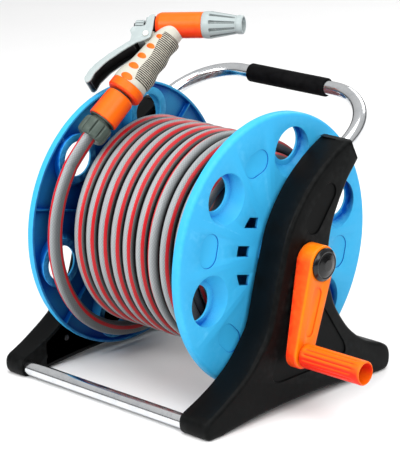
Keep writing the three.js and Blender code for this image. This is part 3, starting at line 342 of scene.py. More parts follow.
def spline(knots, steps):
    """A smooth line through all knots, with the same number of steps between each pair."""
    knots = [Vector(k) for k in knots]
    points = []
    for i in range(len(knots) - 1):
        p0, p1 = knots[max(i - 1, 0)], knots[i]
        p2, p3 = knots[i + 1], knots[min(i + 2, len(knots) - 1)]
        for k in range(steps):
            t = k / steps
            points.append(tuple(
                0.5 * (2 * p1 + (p2 - p0) * t + (2 * p0 - 5 * p1 + 4 * p2 - p3) * t ** 2
                       + (3 * p1 - p0 - 3 * p2 + p3) * t ** 3)))
    points.append(tuple(knots[-1]))
    return points


def inset(points, distance):
    """Moves a closed outline inwards, corner by corner."""
    count = len(points)
    flat = [Vector(p) for p in points]
    area = sum(near.x * far.y - far.x * near.y for near, far in zip(flat, flat[1:] + flat[:1]))
    side = 1 if area > 0 else -1
    moved = []
    for i, here in enumerate(flat):
        before = (here - flat[i - 1]).normalized()
        after = (flat[(i + 1) % count] - here).normalized()
        normal = Vector((-before.y - after.y, before.x + after.x)).normalized()
        reach = distance / max(0.5, normal.dot(Vector((-after.y, after.x))))
        moved.append(tuple(here + side * reach * normal))
    return moved


def stadium(first, second, steps=16):
    """The outline round two circles (x, y, radius)."""
    (x1, y1, r1), (x2, y2, r2) = first, second
    along = math.atan2(y2 - y1, x2 - x1)
    lean = math.acos((r1 - r2) / math.hypot(x2 - x1, y2 - y1))
    points = []
    for (x, y, r), start, end in ((second, along - lean, along + lean),
                                  (first, along + lean, along - lean + 2 * math.pi)):
        for i in range(steps + 1):
            angle = start + (end - start) * i / steps
            points.append((x + r * math.cos(angle), y + r * math.sin(angle)))
    return points


def circle(x, y, radius, count=48):
    angles = [2 * math.pi * i / count for i in range(count)]
    return [(x + radius * math.cos(angle), y + radius * math.sin(angle)) for angle in angles]


def turned(points, angle):
    """An outline turned about the origin."""
    cos, sin = math.cos(angle), math.sin(angle)
    return [(x * cos - y * sin, x * sin + y * cos) for x, y in points]


def grooved(name, stations, groove, sides, place, axis="Z"):
    """A body of round sections (radius, along, share of the groove); groove(angle) gives its depth."""
    rings = []
    for radius, along, share in stations:
        ring = []
        for i in range(sides):
            angle = 2 * math.pi * i / sides
            reach = radius - share * groove(angle)
            across = (reach * math.cos(angle), reach * math.sin(angle))
            ring.append((along, *across) if axis == "X" else (*across, along))
        rings.append(ring)
    return loft(name, rings, place, smooth=40)


def flip_x(obj):
    """Mirrors a piece to the other side of the middle."""
    obj.data.transform(Matrix.Scale(-1, 4, (1, 0, 0)))
    tidy_normals(obj)
    return obj


def sweep(name, points, radius, sides=20, roll=None, smooth=60):
    """A solid round bar along points. UV: u is the length in metres, v goes once round it."""
    points = [Vector(p) for p in points]
    tangents = [(points[min(i + 1, len(points) - 1)] - points[max(i - 1, 0)]).normalized()
                for i in range(len(points))]
    side = tangents[0].orthogonal().normalized()
    vertices, lengths, length = [], [], 0.0
    for i, here in enumerate(points):
        if i:
            side = tangents[i - 1].rotation_difference(tangents[i]) @ side
            length += (here - points[i - 1]).length
        side = (side - side.dot(tangents[i]) * tangents[i]).normalized()
        if roll is not None:
            out, turn = roll(i)
            reference = (out - out.dot(tangents[i]) * tangents[i]).normalized()
            side = Matrix.Rotation(turn, 3, tangents[i]) @ reference
        up = tangents[i].cross(side)
        lengths.append(length)
        for k in range(sides):
            angle = 2 * math.pi * k / sides
            vertices.append(here + radius * (math.cos(angle) * side + math.sin(angle) * up))
    faces, uvs = [], []
    for i in range(len(points) - 1):
        for k in range(sides):
            j = (k + 1) % sides
            faces.append((i * sides + k, i * sides + j, (i + 1) * sides + j, (i + 1) * sides + k))
            low, high = k / sides, (k + 1) / sides
            near, far = lengths[i] * MM, lengths[i + 1] * MM
            uvs += [(near, low), (near, high), (far, high), (far, low)]
    for start in (0, (len(points) - 1) * sides):
        faces.append(tuple(range(start, start + sides)))
        uvs += [(lengths[0 if start == 0 else -1] * MM, 0.25)] * sides
    mesh = bpy.data.meshes.new(name)
    mesh.from_pydata([tuple(v * MM) for v in vertices], [], faces)
    layer = mesh.uv_layers.new(name="along")
    for loop, uv in enumerate(uvs):
        layer.data[loop].uv = uv
    obj = new_object(name, mesh)
    obj.matrix_world = HOME
    tidy_normals(obj, smooth)
    return obj


# ------------------------------------------------------------------ materials

def linear(red, green, blue):
    """An 8-bit display colour as the linear colour that shaders take."""
    def channel(value):
        value /= 255
        return value / 12.92 if value <= 0.04045 else ((value + 0.055) / 1.055) ** 2.4
    return (channel(red), channel(green), channel(blue), 1)


class Nodes:
    """A small helper that adds and joins nodes of a material or of the world."""

    def __init__(self, owner, surface):
        owner.use_nodes = True
        self.tree = owner.node_tree
        self.surface = self.tree.nodes[surface]
        self.place = self.add("ShaderNodeTexCoord")

    def add(self, kind, **settings):
        node = self.tree.nodes.new(kind)
        for key, value in settings.items():
            if hasattr(node, key):
                setattr(node, key, value)
            else:
                node.inputs[key.replace("_", " ").title()].default_value = value
        return node

    def link(self, source, target):
        self.tree.links.new(source, target)

    def split(self, source):
        node = self.add("ShaderNodeSeparateXYZ")
        self.link(source, node.inputs["Vector"])
        return node.outputs

    def noise(self, scale, detail=3, roughness=0.5, stretch=(1, 1, 1)):
        mapping = self.add("ShaderNodeMapping")
        mapping.inputs["Scale"].default_value = stretch
        self.link(self.place.outputs["Object"], mapping.inputs["Vector"])
        node = self.add("ShaderNodeTexNoise")
        node.inputs["Scale"].default_value = scale
        node.inputs["Detail"].default_value = detail
        node.inputs["Roughness"].default_value = roughness
        self.link(mapping.outputs["Vector"], node.inputs["Vector"])
        return node.outputs["Fac"]

    def ramp(self, source, stops):
        node = self.add("ShaderNodeValToRGB")
        elements = node.color_ramp.elements
        while len(elements) < len(stops):
            elements.new(0.5)
        for element, (position, color) in zip(elements, stops):
            element.position = position
            element.color = color
        self.link(source, node.inputs["Fac"])
        return node.outputs["Color"]

    def range(self, source, low, high, from_low=0.0, from_high=1.0):
        node = self.add("ShaderNodeMapRange")
        limits = {"From Min": from_low, "From Max": from_high, "To Min": low, "To Max": high}
        for name, value in limits.items():
            node.inputs[name].default_value = value
        self.link(source, node.inputs["Value"])
        return node.outputs["Result"]

    def mix(self, factor, first, second, blend="MIX"):
        node = self.add("ShaderNodeMix", data_type="RGBA", blend_type=blend)
        self.feed(factor, node.inputs["Factor"])
        first_colour, second_colour = [i for i in node.inputs if i.type == "RGBA"]
        self.feed(first, first_colour)
        self.feed(second, second_colour)
        return next(o for o in node.outputs if o.type == "RGBA")

    def feed(self, value, target):
        if hasattr(value, "is_output"):
            self.link(value, target)
        else:
            target.default_value = value

    def math(self, operation, *values):
        node = self.add("ShaderNodeMath", operation=operation)
        for value, target in zip(values, node.inputs):
            self.feed(value, target)
        return node.outputs["Value"]

    def bump(self, height, strength, distance_mm=0.1):
        node = self.add("ShaderNodeBump")
        node.inputs["Strength"].default_value = strength
        node.inputs["Distance"].default_value = distance_mm * MM
        self.link(height, node.inputs["Height"])
        self.link(node.outputs["Normal"], self.surface.inputs["Normal"])

    def set(self, **values):
        for key, value in values.items():
            self.feed(value, self.surface.inputs[key.replace("_", " ")])


class Shader(Nodes):
    """The nodes of one new material."""

    def __init__(self, name):
        self.material = bpy.data.materials.new(name)
        super().__init__(self.material, "Principled BSDF")


def edge_wear(shader, low=0.505, high=0.56):
    """Rises towards 1 on convex edges, broken up by noise."""
    geometry = shader.add("ShaderNodeNewGeometry")
    edges = shader.range(geometry.outputs["Pointiness"], 0.0, 1.0, low, high)
    patches = shader.range(shader.noise(160, 4), 0.0, 1.0, 0.4, 0.7)
    return shader.math("MULTIPLY", edges, patches)


def hollow(shader, distance_mm):
    """Rises from 0 on open faces to 1 far into recesses and grooves: the mask for painted shade there."""
    node = shader.add("ShaderNodeAmbientOcclusion", samples=8, only_local=True)
    node.inputs["Distance"].default_value = distance_mm * MM
    return shader.range(node.outputs["AO"], 1.0, 0.0)


def turned_away(shader, side, start=0.15, end=0.75):
    """Rises from 0 on faces towards a side to 1 on faces away from it: the mask for painted shade on the side
    turned from the light.
    """
    geometry = shader.add("ShaderNodeNewGeometry")
    facing = shader.add("ShaderNodeVectorMath", operation="DOT_PRODUCT")
    shader.link(geometry.outputs["Normal"], facing.inputs[0])
    facing.inputs[1].default_value = side
    return shader.range(facing.outputs["Value"], 1.0, 0.0, start, end)


def moulded(name, color, shade_and_flow_color, roughness=0.34, grain=0.05, grain_scale=2600, worn=None, coat=0.0, reach=14,
            leaning=0.0, specular=0.25, deepest=1.0, shade=None, darkest=None):
    """Injection moulded plastic: painted shade in recesses, faint flow marks, fine grain, rubbed edges.

    Colours are 8-bit. The second colour is painted shade in recesses, which are looked for up to reach,
    in mm; with a smaller deepest they turn to it sooner, and the faint flow marks take a little of it.
    Faces away from LIGHT_SIDE take up to the share leaning of it, as painted shade. shade(shader) gives
    the share of the darkest colour, painted shade as well.
    """
    shader = Shader(name)
    flow = shader.range(shader.noise(9, 4, 0.6), 0.0, 0.08, 0.35, 0.65)
    # Painted shade in recesses from ambient occlusion; the flow marks add a little real tone.
    shaded = shader.math("ADD", shader.range(hollow(shader, reach), 0.0, 1.0, 0.08, 0.75 * deepest), flow)
    # Painted shade on faces turned away from LIGHT_SIDE.
    if leaning:
        away = shader.math("MULTIPLY", turned_away(shader, LIGHT_SIDE), leaning)
        shaded = shader.math("MAXIMUM", shaded, away)
    base = shader.mix(shaded, linear(*color), linear(*shade_and_flow_color))
    # Painted shade in the darkest colour, where shade(shader) puts it.
    if shade:
        base = shader.mix(shade(shader), base, linear(*darkest))
    if worn:
        base = shader.mix(shader.math("MULTIPLY", edge_wear(shader), 0.4), base, linear(*worn))
    smudge = shader.noise(38, 5, 0.65)
    shader.set(
        Base_Color=base,
        Roughness=shader.range(smudge, roughness - 0.03, roughness + 0.05, 0.3, 0.7),
        Specular_IOR_Level=specular,
        Coat_Weight=coat,
        Coat_Roughness=0.12,
    )
    shader.bump(shader.noise(grain_scale, 2, 0.5), grain)
    return shader.material


def towards_middle(shader, axis):
    """1 on faces that look towards the piece's own middle; also gives the place and the facing."""
    place = shader.split(shader.place.outputs["Object"])
    facing = shader.split(shader.place.outputs["Normal"])
    outwards = shader.math("MULTIPLY", shader.math("SIGN", place[axis]), facing[axis])
    return shader.range(outwards, 1.0, 0.0, -0.6, -0.2), place, facing


def flange_inside_shade(shader):
    """The share of painted shade: up to 1 on the faces towards the hose; less near the rim, and least near the
    top.
    """
    # In metres: out from the axle, and up from the floor.
    rim_starts, rim_ends, top_starts, top_ends = 0.08, 0.155, 0.24, 0.31
    inwards, place, _ = towards_middle(shader, "X")
    squares = [shader.math("POWER", place[axis], 2.0) for axis in "YZ"]
    radius = shader.math("SQRT", shader.math("ADD", *squares))
    height = shader.split(shader.add("ShaderNodeNewGeometry").outputs["Position"])["Z"]
    lit_top = shader.range(height, 1.0, 0.05, top_starts, top_ends)
    lit_rim = shader.range(radius, 1.0, 0.7, rim_starts, rim_ends)
    return shader.math("MULTIPLY", inwards, shader.math("MULTIPLY", lit_rim, lit_top))


def trigger_inside_shade(shader):
    """The share of painted shade: 1 on the faces of the trigger's hollow, between its two cheeks."""
    cheeks, place, facing = towards_middle(shader, "Y")
    inner = (TRIGGER_HALF - TRIGGER_WALL) * MM
    between = shader.range(shader.math("ABSOLUTE", place["Y"]), 1.0, 0.0, inner, inner + 0.3 * MM)
    web = shader.math("MULTIPLY", between, shader.range(facing["X"], 0.0, 1.0, 0.1, 0.4))
    return shader.math("MAXIMUM", cheeks, web)


def polished_tube():
    """Drawn and polished aluminium: long fine draw lines and faint handling marks."""
    shader = Shader("polished_aluminium")
    lines = shader.noise(420, 4, 0.6, stretch=(0.02, 1, 1))
    marks = shader.range(shader.noise(60, 5, 0.7), 0.0, 1.0, 0.45, 0.75)
    shader.set(
        Base_Color=shader.mix(marks, linear(226, 228, 230), linear(206, 209, 213)),
        Metallic=1.0,
        Roughness=shader.math("ADD", shader.range(lines, 0.1, 0.2), shader.range(marks, 0.0, 0.05)),
    )
    shader.bump(lines, 0.05)
    return shader.material


def zinc_steel():
    shader = Shader("zinc_plated_steel")
    patches = shader.noise(300, 5, 0.7)
    shader.set(
        Base_Color=shader.ramp(patches, [(0.35, linear(52, 53, 54)), (0.65, linear(84, 85, 86))]),
        Metallic=1.0,
        Roughness=shader.range(patches, 0.22, 0.4),
    )
    shader.bump(shader.noise(1500, 3), 0.05)
    return shader.material


def foam():
    """Closed cell foam: dense small pits and a dull surface."""
    shader = Shader("black_foam")
    cells = shader.add("ShaderNodeTexVoronoi")
    cells.inputs["Scale"].default_value = 900
    shader.link(shader.place.outputs["Object"], cells.inputs["Vector"])
    broad = shader.noise(120, 4)
    shader.set(
        Base_Color=shader.ramp(broad, [(0.3, linear(10, 10, 11)), (0.7, linear(22, 22, 23))]),
        Roughness=shader.range(broad, 0.6, 0.8),
        Specular_IOR_Level=0.03,
    )
    shader.bump(cells.outputs["Distance"], 0.5, 0.3)
    return shader.material


def seal_rubber():
    shader = Shader("seal_rubber")
    film = shader.noise(260, 4)
    shader.set(
        Base_Color=shader.ramp(film, [(0.3, linear(16, 16, 17)), (0.7, linear(30, 30, 32))]),
        Roughness=shader.range(film, 0.45, 0.65),
    )
    shader.bump(shader.noise(1800, 2), 0.06)
    return shader.material


def hose_skin():
    """Grey hose with three red stripes over a crossed braid; painted shade away from the light and between turns.
    """
    shader = Shader("striped_hose")
    along, around, _ = shader.split(shader.place.outputs["UV"])
    third = shader.math("FRACT", shader.math("MULTIPLY", around, 3.0))
    from_middle = shader.math("ABSOLUTE", shader.math("SUBTRACT", third, 0.5))
    waver = shader.range(shader.noise(70, 3), -0.012, 0.012, 0.3, 0.7)
    stripe = shader.range(shader.math("ADD", from_middle, waver), 1.0, 0.0, 0.11, 0.125)
    threads = []
    for turn in (1, -1):
        slope = shader.math("MULTIPLY", along, 260.0 * turn)
        phase = shader.math("ADD", slope, shader.math("MULTIPLY", around, 16.0))
        saw = shader.math("FRACT", phase)
        threads.append(shader.math("ABSOLUTE", shader.math("SUBTRACT", saw, 0.5)))
    braid = shader.math("MINIMUM", *threads)
    tint = shader.range(braid, 0.0, 1.0, 0.0, 0.22)
    # Painted shade on the side of each turn away from the key light.
    away = shader.range(turned_away(shader, (-0.9, -0.4, 0.2), -0.5, 0.55), 0.0, 0.8)
    pale_grey = shader.mix(tint, linear(144, 149, 151), linear(168, 172, 174))
    grey = shader.mix(away, pale_grey, linear(26, 27, 27))
    pale_red = shader.mix(tint, linear(190, 14, 26), linear(212, 22, 34))
    red = shader.mix(away, pale_red, linear(150, 8, 18))
    skin = shader.mix(stripe, grey, red)
    # Painted shadow, near black, in the grooves between the turns.
    groove = shader.range(hollow(shader, 9), 0.0, 1.0, 0.2, 0.6)
    shader.set(
        Base_Color=shader.mix(groove, skin, linear(8, 7, 8)),
        Roughness=shader.range(shader.noise(90, 4), 0.28, 0.42, 0.3, 0.7),
        Specular_IOR_Level=0.3,
    )
    shader.bump(braid, 0.3, 0.25)
    return shader.material


def ribbed_rubber():
    """Soft insert: pale ridges above near black grooves. The rib height comes from the mesh."""
    shader = Shader("ribbed_rubber")
    ridge = shader.add("ShaderNodeAttribute", attribute_name="ridge")
    dust = shader.range(shader.noise(240, 4), -0.12, 0.12, 0.3, 0.7)
    level = shader.math("ADD", ridge.outputs["Fac"], dust)
    shader.set(
        Base_Color=shader.ramp(level, [(0.42, linear(8, 8, 8)), (0.7, linear(176, 171, 156))]),
        Roughness=0.6,
    )
    shader.bump(shader.noise(1600, 3), 0.1)
    return shader.material


def floor_material():
    shader = Shader("pale_floor")
    patches = shader.noise(2, 4)
    shader.set(
        Base_Color=shader.ramp(patches, [(0.3, (0.86, 0.86, 0.86, 1)), (0.7, (0.9, 0.9, 0.9, 1))]),
        Roughness=0.6,
    )
    return shader.material


# The orange pieces keep their paler colour on faces towards this side; faces turned from it get painted shade.
LIGHT_SIDE = (0.66, -0.1, 0.74)

# In each finish the second colour and darkest are painted shade: in recesses, on faces turned from LIGHT_SIDE, and
# on the flange's faces towards the hose.
MOULDED = {
    "flange_blue": dict(
        color=(58, 174, 226), shade_and_flow_color=(0, 84, 178), worn=(100, 196, 240), darkest=(2, 36, 104),
        roughness=0.4, reach=20, specular=0.12, deepest=0.5, shade=flange_inside_shade),
    "frame_black": dict(
        color=(9, 10, 10), shade_and_flow_color=(4, 4, 5), worn=(44, 46, 46),
        roughness=0.42, grain=0.14, grain_scale=1500, specular=0.06),
    "cap_black": dict(color=(10, 10, 11), shade_and_flow_color=(4, 4, 5), roughness=0.2, grain=0.02, coat=0.3),
    "crank_orange": dict(
        color=(240, 124, 4), shade_and_flow_color=(236, 40, 24), worn=(252, 140, 50),
        roughness=0.36, leaning=0.9, specular=0.15),
    "crank_grip_orange": dict(
        color=(238, 106, 6), shade_and_flow_color=(230, 44, 22), roughness=0.4, leaning=1.0, specular=0.15),
    "gun_orange": dict(
        color=(238, 100, 6), shade_and_flow_color=(226, 46, 16), worn=(252, 140, 60), leaning=0.9, specular=0.2),
    "gun_grey": dict(color=(162, 172, 172), shade_and_flow_color=(8, 9, 10), worn=(196, 204, 204), reach=12),
    "nut_grey": dict(
        color=(66, 78, 71), shade_and_flow_color=(12, 15, 14), worn=(120, 132, 124), roughness=0.46, grain=0.1, reach=8),
    "acetal_white": dict(color=(228, 226, 218), shade_and_flow_color=(90, 92, 92), roughness=0.3),
    "gland_black": dict(color=(20, 20, 20), shade_and_flow_color=(6, 6, 6), roughness=0.5, grain=0.1, specular=0.15),
}

SLOT_MATERIALS = {
    "steel": zinc_steel(),
    "polished_tube": polished_tube(),
    "foam_grip": foam(),
    "seal_rubber": seal_rubber(),
    "hose_grey": hose_skin(),
    "insert_rubber": ribbed_rubber(),
}
SLOT_MATERIALS.update({slot: moulded(slot, **finish) for slot, finish in MOULDED.items()})
ACETAL = SLOT_MATERIALS["acetal_white"]
# The trigger's hollow between its cheeks gets painted shade, near black.
TRIGGER_GREY = moulded("trigger_grey", **MOULDED["gun_grey"], shade=trigger_inside_shade, darkest=(10, 11, 12))
# Its second colour is painted shade in recesses.
GRIP_GREY = moulded("grip_grey", (186, 184, 172), (60, 58, 52), roughness=0.4, worn=(214, 212, 200))
NODE_SLOT = {part["node"]: part["material_slot"] for part in frame["record"]["subparts"]}
NODE_BODY = {node: body for body, nodes in frame["record"]["behaviour"]["bodies"].items() for node in nodes}


def dress(obj, material):
    obj.data.materials.clear()
    obj.data.materials.append(material)


def dress_frame():
    """Every CAD node gets the procedural material of its slot."""
    for name, node in frame["nodes"].items():
        dress(node, SLOT_MATERIALS[NODE_SLOT[name]])


def stands_for(obj, node, material=None):
    """The piece takes the place, the body and the finish of one CAD node."""
    obj.name = "look_" + node
    slot = NODE_SLOT[node]
    dress(obj, material or SLOT_MATERIALS[slot])
    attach(obj, NODE_BODY[node])
    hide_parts(node)
    return obj


def adds_to(obj, name, body, slot):
    """A detail piece with no CAD node of its own."""
    obj.name = name
    dress(obj, SLOT_MATERIALS[slot])
    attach(obj, body)
    return obj


# ------------------------------------------------------------------ side frames

# The gap between pieces that fit together.
FIT = 0.3
COVER_SCREWS = [(-88, 30), (0, 215), (88, 30)]
COVER_SEAT = 2.9
COVER_MARGIN = 4
TOE_FRONT, TOE_REAR = -118, 106
FRAME_PANEL_DEPTH = 1.6
SOCKET = (76.5, 264.8)
SOCKET_RADIUS, SOCKET_DEPTH = 12, 44
LEG_SUNK = 38
HANDLE_RISE = math.radians(30)
DRAW_BACK = 6
ARCH_FRONT, ARCH_REAR = -132, 124


def frame_outline():
    """The side view of a frame as (y, z): up the front edge, over the top, down the rear edge."""
    front = spline([(-150, 23), (-127, 34), (-92, 56), (-69, 80.5), (-58.5, 97), (-49.5, 130), (-39.5, 165),
                    (-27, 200), (-1, 235), (31, 260.5), (62, 276.5)], 8)
    rear = spline([(66, 235), (53, 214), (41.5, 190), (36, 162), (37, 135), (42.5, 114), (52, 93), (75, 64.5),
                   (103, 44), (132, 33)], 8)
    top_end = rounded([(62, 276.5), (71.5, 277, 3), (83.5, 254.5, 3), (66, 235)])[1:-1]
    rear_toe = spline([(132, 33), (142, 27), (146, 18), (145.5, 8), (142, 2), (138, 0)], 4)[1:]
    middle, half, steps = (ARCH_FRONT + ARCH_REAR) / 2, (ARCH_REAR - ARCH_FRONT) / 2, 22
    shares = [1 - 2 * k / steps for k in range(steps)]
    arch = [(middle + share * half, ARCH_HEIGHT * (1 - share ** 2)) for share in shares]
    front_toe = spline([(ARCH_FRONT, 0), (-148, 0), (-154, 4), (-156, 12), (-154.5, 19), (-150, 23)], 4)[:-1]
    outline = front + top_end + rear + rear_toe + arch + front_toe
    return [(y, max(z, 0)) for y, z in outline]


def drawn_back(points, amount):
    """The front edge draws back towards the inner face, but not at the toe."""
    toe_top, blend, top, split, slant = 20, 20, 276, 60, 0.35
    moved = []
    for y, z in points:
        in_front = y < split - (top - z) * slant
        share = min(max((z - toe_top) / blend, 0), 1) if in_front else 0
        moved.append((y + amount * share, z))
    return moved


def handle_leg(leg, radius, depth, reach=40):
    turn = Matrix.Rotation(-math.pi / 2 + HANDLE_RISE, 4, "X")
    return rod(radius, -depth, reach, shift(leg, *SOCKET) @ turn, "Z")


def frame_seat(leg, clearance, start, end):
    """The space of the inner cover, between the two solid toes."""
    outline = inset(drawn_back(frame_outline(), DRAW_BACK), COVER_MARGIN + clearance)
    seat = plate_x(outline, start, end)
    toes = []
    for edge, side in ((TOE_FRONT, -1), (TOE_REAR, 1)):
        near, far = edge - side * clearance, edge + side * 100
        low, high = min(near, far), max(near, far)
        toes.append(plate_x([(low, -20), (high, -20), (high, 80), (low, 80)], start - 5, end + 5))
    return carve(seat, toes + [handle_leg(leg, SOCKET_RADIUS + clearance, SOCKET_DEPTH)])


def frame_panels(outer):
    """A shallow oval on the upper arm and a rounded triangle behind the crank."""
    oval = stadium((10, 199, 13), (34, 226, 11))
    triangle = rounded([(-62, 35, 14), (76, 35, 14), (-1, 142, 20)], closed=True, steps=10)
    return [recess(shape, outer, FRAME_PANEL_DEPTH) for shape in (oval, triangle)]


def side_frame(outer, leg, bar_end):
    """A side frame as it stands on the right."""
    outline = frame_outline()
    inner = drawn_back(outline, DRAW_BACK)
    rings = [at_x(inset(inner, 0.7), FRAME_INNER), at_x(inset(inner, 0.2), FRAME_INNER + 0.2)]
    for k in range(4):
        share = k / 3
        x = FRAME_INNER + 0.7 + (outer - EDGE_ROUND - FRAME_INNER - 0.7) * share
        rings.append(at_x(drawn_back(outline, DRAW_BACK * (1 - share) ** 1.3), x))
    for k in range(1, 6):
        angle = math.pi / 2 * k / 5
        x = outer - EDGE_ROUND * (1 - math.sin(angle))
        rings.append(at_x(inset(outline, EDGE_ROUND * (1 - math.cos(angle))), x))
    body = loft("frame", rings)
    bars = [rod(TUBE_RADIUS + FIT, FRAME_INNER - 1, bar_end + FIT, across_middle(low, high))
            for low, high in ((FRONT_BAR_LOW, FRONT_BAR_HIGH), (REAR_BAR_LOW, REAR_BAR_HIGH))]
    bore = rod(BUSH_RADIUS + FIT, FRAME_INNER - 1, outer + 1, REEL_PLACE)
    seat = frame_seat(leg, 0, FRAME_INNER - 1, FRAME_INNER + COVER_SEAT)
    leg_hole = handle_leg(leg, TUBE_RADIUS + FIT, LEG_SUNK + FIT)
    carve(body, [seat, bore, leg_hole] + bars + frame_panels(outer))
    merge_close(body)
    tidy_normals(body, 24)
    return body


def inner_cover(leg):
    cover = frame_seat(leg, FIT, FRAME_INNER + FIT, FRAME_INNER + COVER_SEAT - FIT)
    start, end = FRAME_INNER - 1, FRAME_INNER + 5
    holes = [rod(BUSH_RADIUS + FIT, start, end, REEL_PLACE)]
    holes += [rod(1.8, start, end, shift(0, y, z), segments=16) for y, z in COVER_SCREWS]
    return carve(cover, holes)


def side_frames():
    stands_for(side_frame(FRAME_OUTER, RIGHT_LEG, FRONT_BAR_HIGH.x), "right_side_frame")
    stands_for(flip_x(side_frame(LEFT_OUTER, LEFT_LEG, -FRONT_BAR_LOW.x)), "left_side_frame")
    stands_for(inner_cover(RIGHT_LEG), "right_inner_cover")
    stands_for(flip_x(inner_cover(LEFT_LEG)), "left_inner_cover")


# ------------------------------------------------------------------ bars and handle

def tube_ends(profile_radius, start, end):
    inner = profile_radius - 1.2
    return rounded([(inner, start), (profile_radius, start, 0.4), (profile_radius, end, 0.4), (inner, end)],
                   closed=True, steps=3)


def bars():
    for node in ("front_bar", "rear_bar"):
        low, high = box_mm(node)
        profile = tube_ends(TUBE_RADIUS, low.x, high.x)
        stands_for(lathe("bar", profile, 64, across_middle(low, high)), node)


def handle_point(x, s):
    return Vector((x, SOCKET[0] + s * math.cos(HANDLE_RISE), SOCKET[1] + s * math.sin(HANDLE_RISE)))


def handle_side(leg, side):
    """From the sunk end of one leg to the start of the straight top."""
    reach, bend = 80, 70
    straight = LEG_SUNK + reach - bend
    points = [handle_point(side * leg, -LEG_SUNK + straight * i / 8) for i in range(8)]
    for i in range(25):
        angle = math.pi / 2 * i / 24
        x = side * (leg - bend * (1 - math.cos(angle)))
        points.append(handle_point(x, reach - bend + bend * math.sin(angle)))
    return points


def handle():
    left, right = handle_side(LEFT_LEG, -1), handle_side(RIGHT_LEG, 1)
    top = [left[-1].lerp(right[-1], k / 12) for k in range(1, 12)]
    stands_for(sweep("handle", left + top + right[::-1], TUBE_RADIUS, 40), "handle_tube")
    inner, outer = TUBE_RADIUS + FIT, (GRIP_HIGH.z - GRIP_LOW.z) / 2
    half = (GRIP_HIGH.x - GRIP_LOW.x) / 2
    profile = rounded([(inner, -half), (outer, -half, 2), (outer, half, 2), (inner, half)], closed=True)
    stands_for(lathe("grip", profile, 64, shift(*(GRIP_LOW + GRIP_HIGH) / 2)), "handle_grip")


# ------------------------------------------------------------------ flanges

def flange_profile():
    inner = FLANGE_FACE - FLANGE_WALL
    return rounded([
        (BORE_RADIUS, HUB_INNER),
        (BORE_RADIUS, HUB_FACE, 0.6),
        (HUB_RADIUS, HUB_FACE, 1.2),
        (HUB_RADIUS + 2, FLANGE_FACE, 1.2),
        (FLANGE_RADIUS, FLANGE_FACE, RIM_ROUND),
        (FLANGE_RADIUS, FLANGE_LIP, 0.8),
        (FLANGE_RADIUS - FLANGE_WALL, FLANGE_LIP, 0.8),
        (FLANGE_RADIUS - FLANGE_WALL, inner, RIM_ROUND - FLANGE_WALL),
        (DRUM_INNER - 0.3, inner, 0.5),
        (DRUM_INNER - 0.3, HUB_INNER),
        (DRUM_INNER - 3, HUB_INNER),
        (DRUM_INNER - 3, inner, 0.5),
        (HUB_RADIUS, inner, 0.5),
        (HUB_RADIUS, HUB_INNER),
    ], closed=True)


def funnel(angle, grow, start, end):
    def ring(x):
        share = max(0, (x - CUP_FLOOR) / (FLANGE_FACE - CUP_FLOOR))
        distance = OPENING_RING - share * MOUTH_SHIFT
        radius = LEDGE_RADIUS + share * (MOUTH_RADIUS - LEDGE_RADIUS) + grow
        return at_x(circle(distance * math.cos(angle), distance * math.sin(angle), radius, 64), x)
    return loft("funnel", [ring(start), ring(CUP_FLOOR + 0.01), ring(end)], REEL_PLACE)


def flange_panel(angle):
    half = PANEL_LENGTH / 2 - PANEL_WIDTH / 2
    ends = turned([(PANEL_RING, -half), (PANEL_RING, half)], angle)
    outline = stadium(*[(*end, PANEL_WIDTH / 2) for end in ends])
    return plate_x(outline, FLANGE_FACE - PANEL_DEPTH, FLANGE_FACE + 1, REEL_PLACE)


def flange_slot(side, row):
    low = row * SLOT_PITCH - SLOT_HEIGHT / 2
    high = low + SLOT_HEIGHT
    inner = 44 if row == 0 else 37
    outer = [(math.sqrt(SLOT_OUTER ** 2 - h ** 2), h) for h in (low, (low + high) / 2, high)]
    corners = [(inner, low), *outer, (inner, high)]
    tilt = SLOT_TILT + (math.pi if side < 0 else 0)
    return plate_x(turned(corners, tilt), HUB_INNER + 2, FLANGE_FACE + 1, REEL_PLACE)


def flange_rib(angle):
    top = FLANGE_FACE - FLANGE_WALL + 0.4
    inner, outer, half = DRUM_OUTER + 1, FLANGE_RADIUS - 2, RIB_THICKNESS / 2
    outline = [(inner, -half), (outer, -half), (outer, half), (inner, half)]
    return plate_x(turned(outline, angle), top - RIB_HEIGHT, top, REEL_PLACE)


def flange():
    step = 2 * math.pi / OPENING_COUNT
    openings = [OPENING_START + i * step for i in range(OPENING_COUNT)]
    panels = [PANEL_START + i * step for i in range(OPENING_COUNT)]
    disc = lathe("flange", flange_profile(), 144, REEL_PLACE)
    weld(disc, [funnel(a, CUP_WALL, CUP_FLOOR - CUP_WALL, FLANGE_FACE - 1) for a in openings]
         + [flange_rib(a) for a in panels])
    holes = [rod(OPENING_RADIUS, CUP_FLOOR - 4, CUP_FLOOR + 1,
                 REEL_PLACE @ shift(0, OPENING_RING * math.cos(a), OPENING_RING * math.sin(a)), segments=64)
             for a in openings]
    slots = [flange_slot(side, row) for side in (-1, 1) for row in (-1, 0, 1)]
    carve(disc, [funnel(a, 0, CUP_FLOOR, FLANGE_FACE + 1) for a in openings] + holes + slots
          + [flange_panel(a) for a in panels])
    merge_close(disc)
    return soften(disc, 0.6)


def flanges():
    stands_for(flange(), "right_flange")
    stands_for(flip_x(flange()), "left_flange")


# ------------------------------------------------------------------ hose

def smooth_step(value):
    value = min(max(value, 0), 1)
    return value * value * (3 - 2 * value)


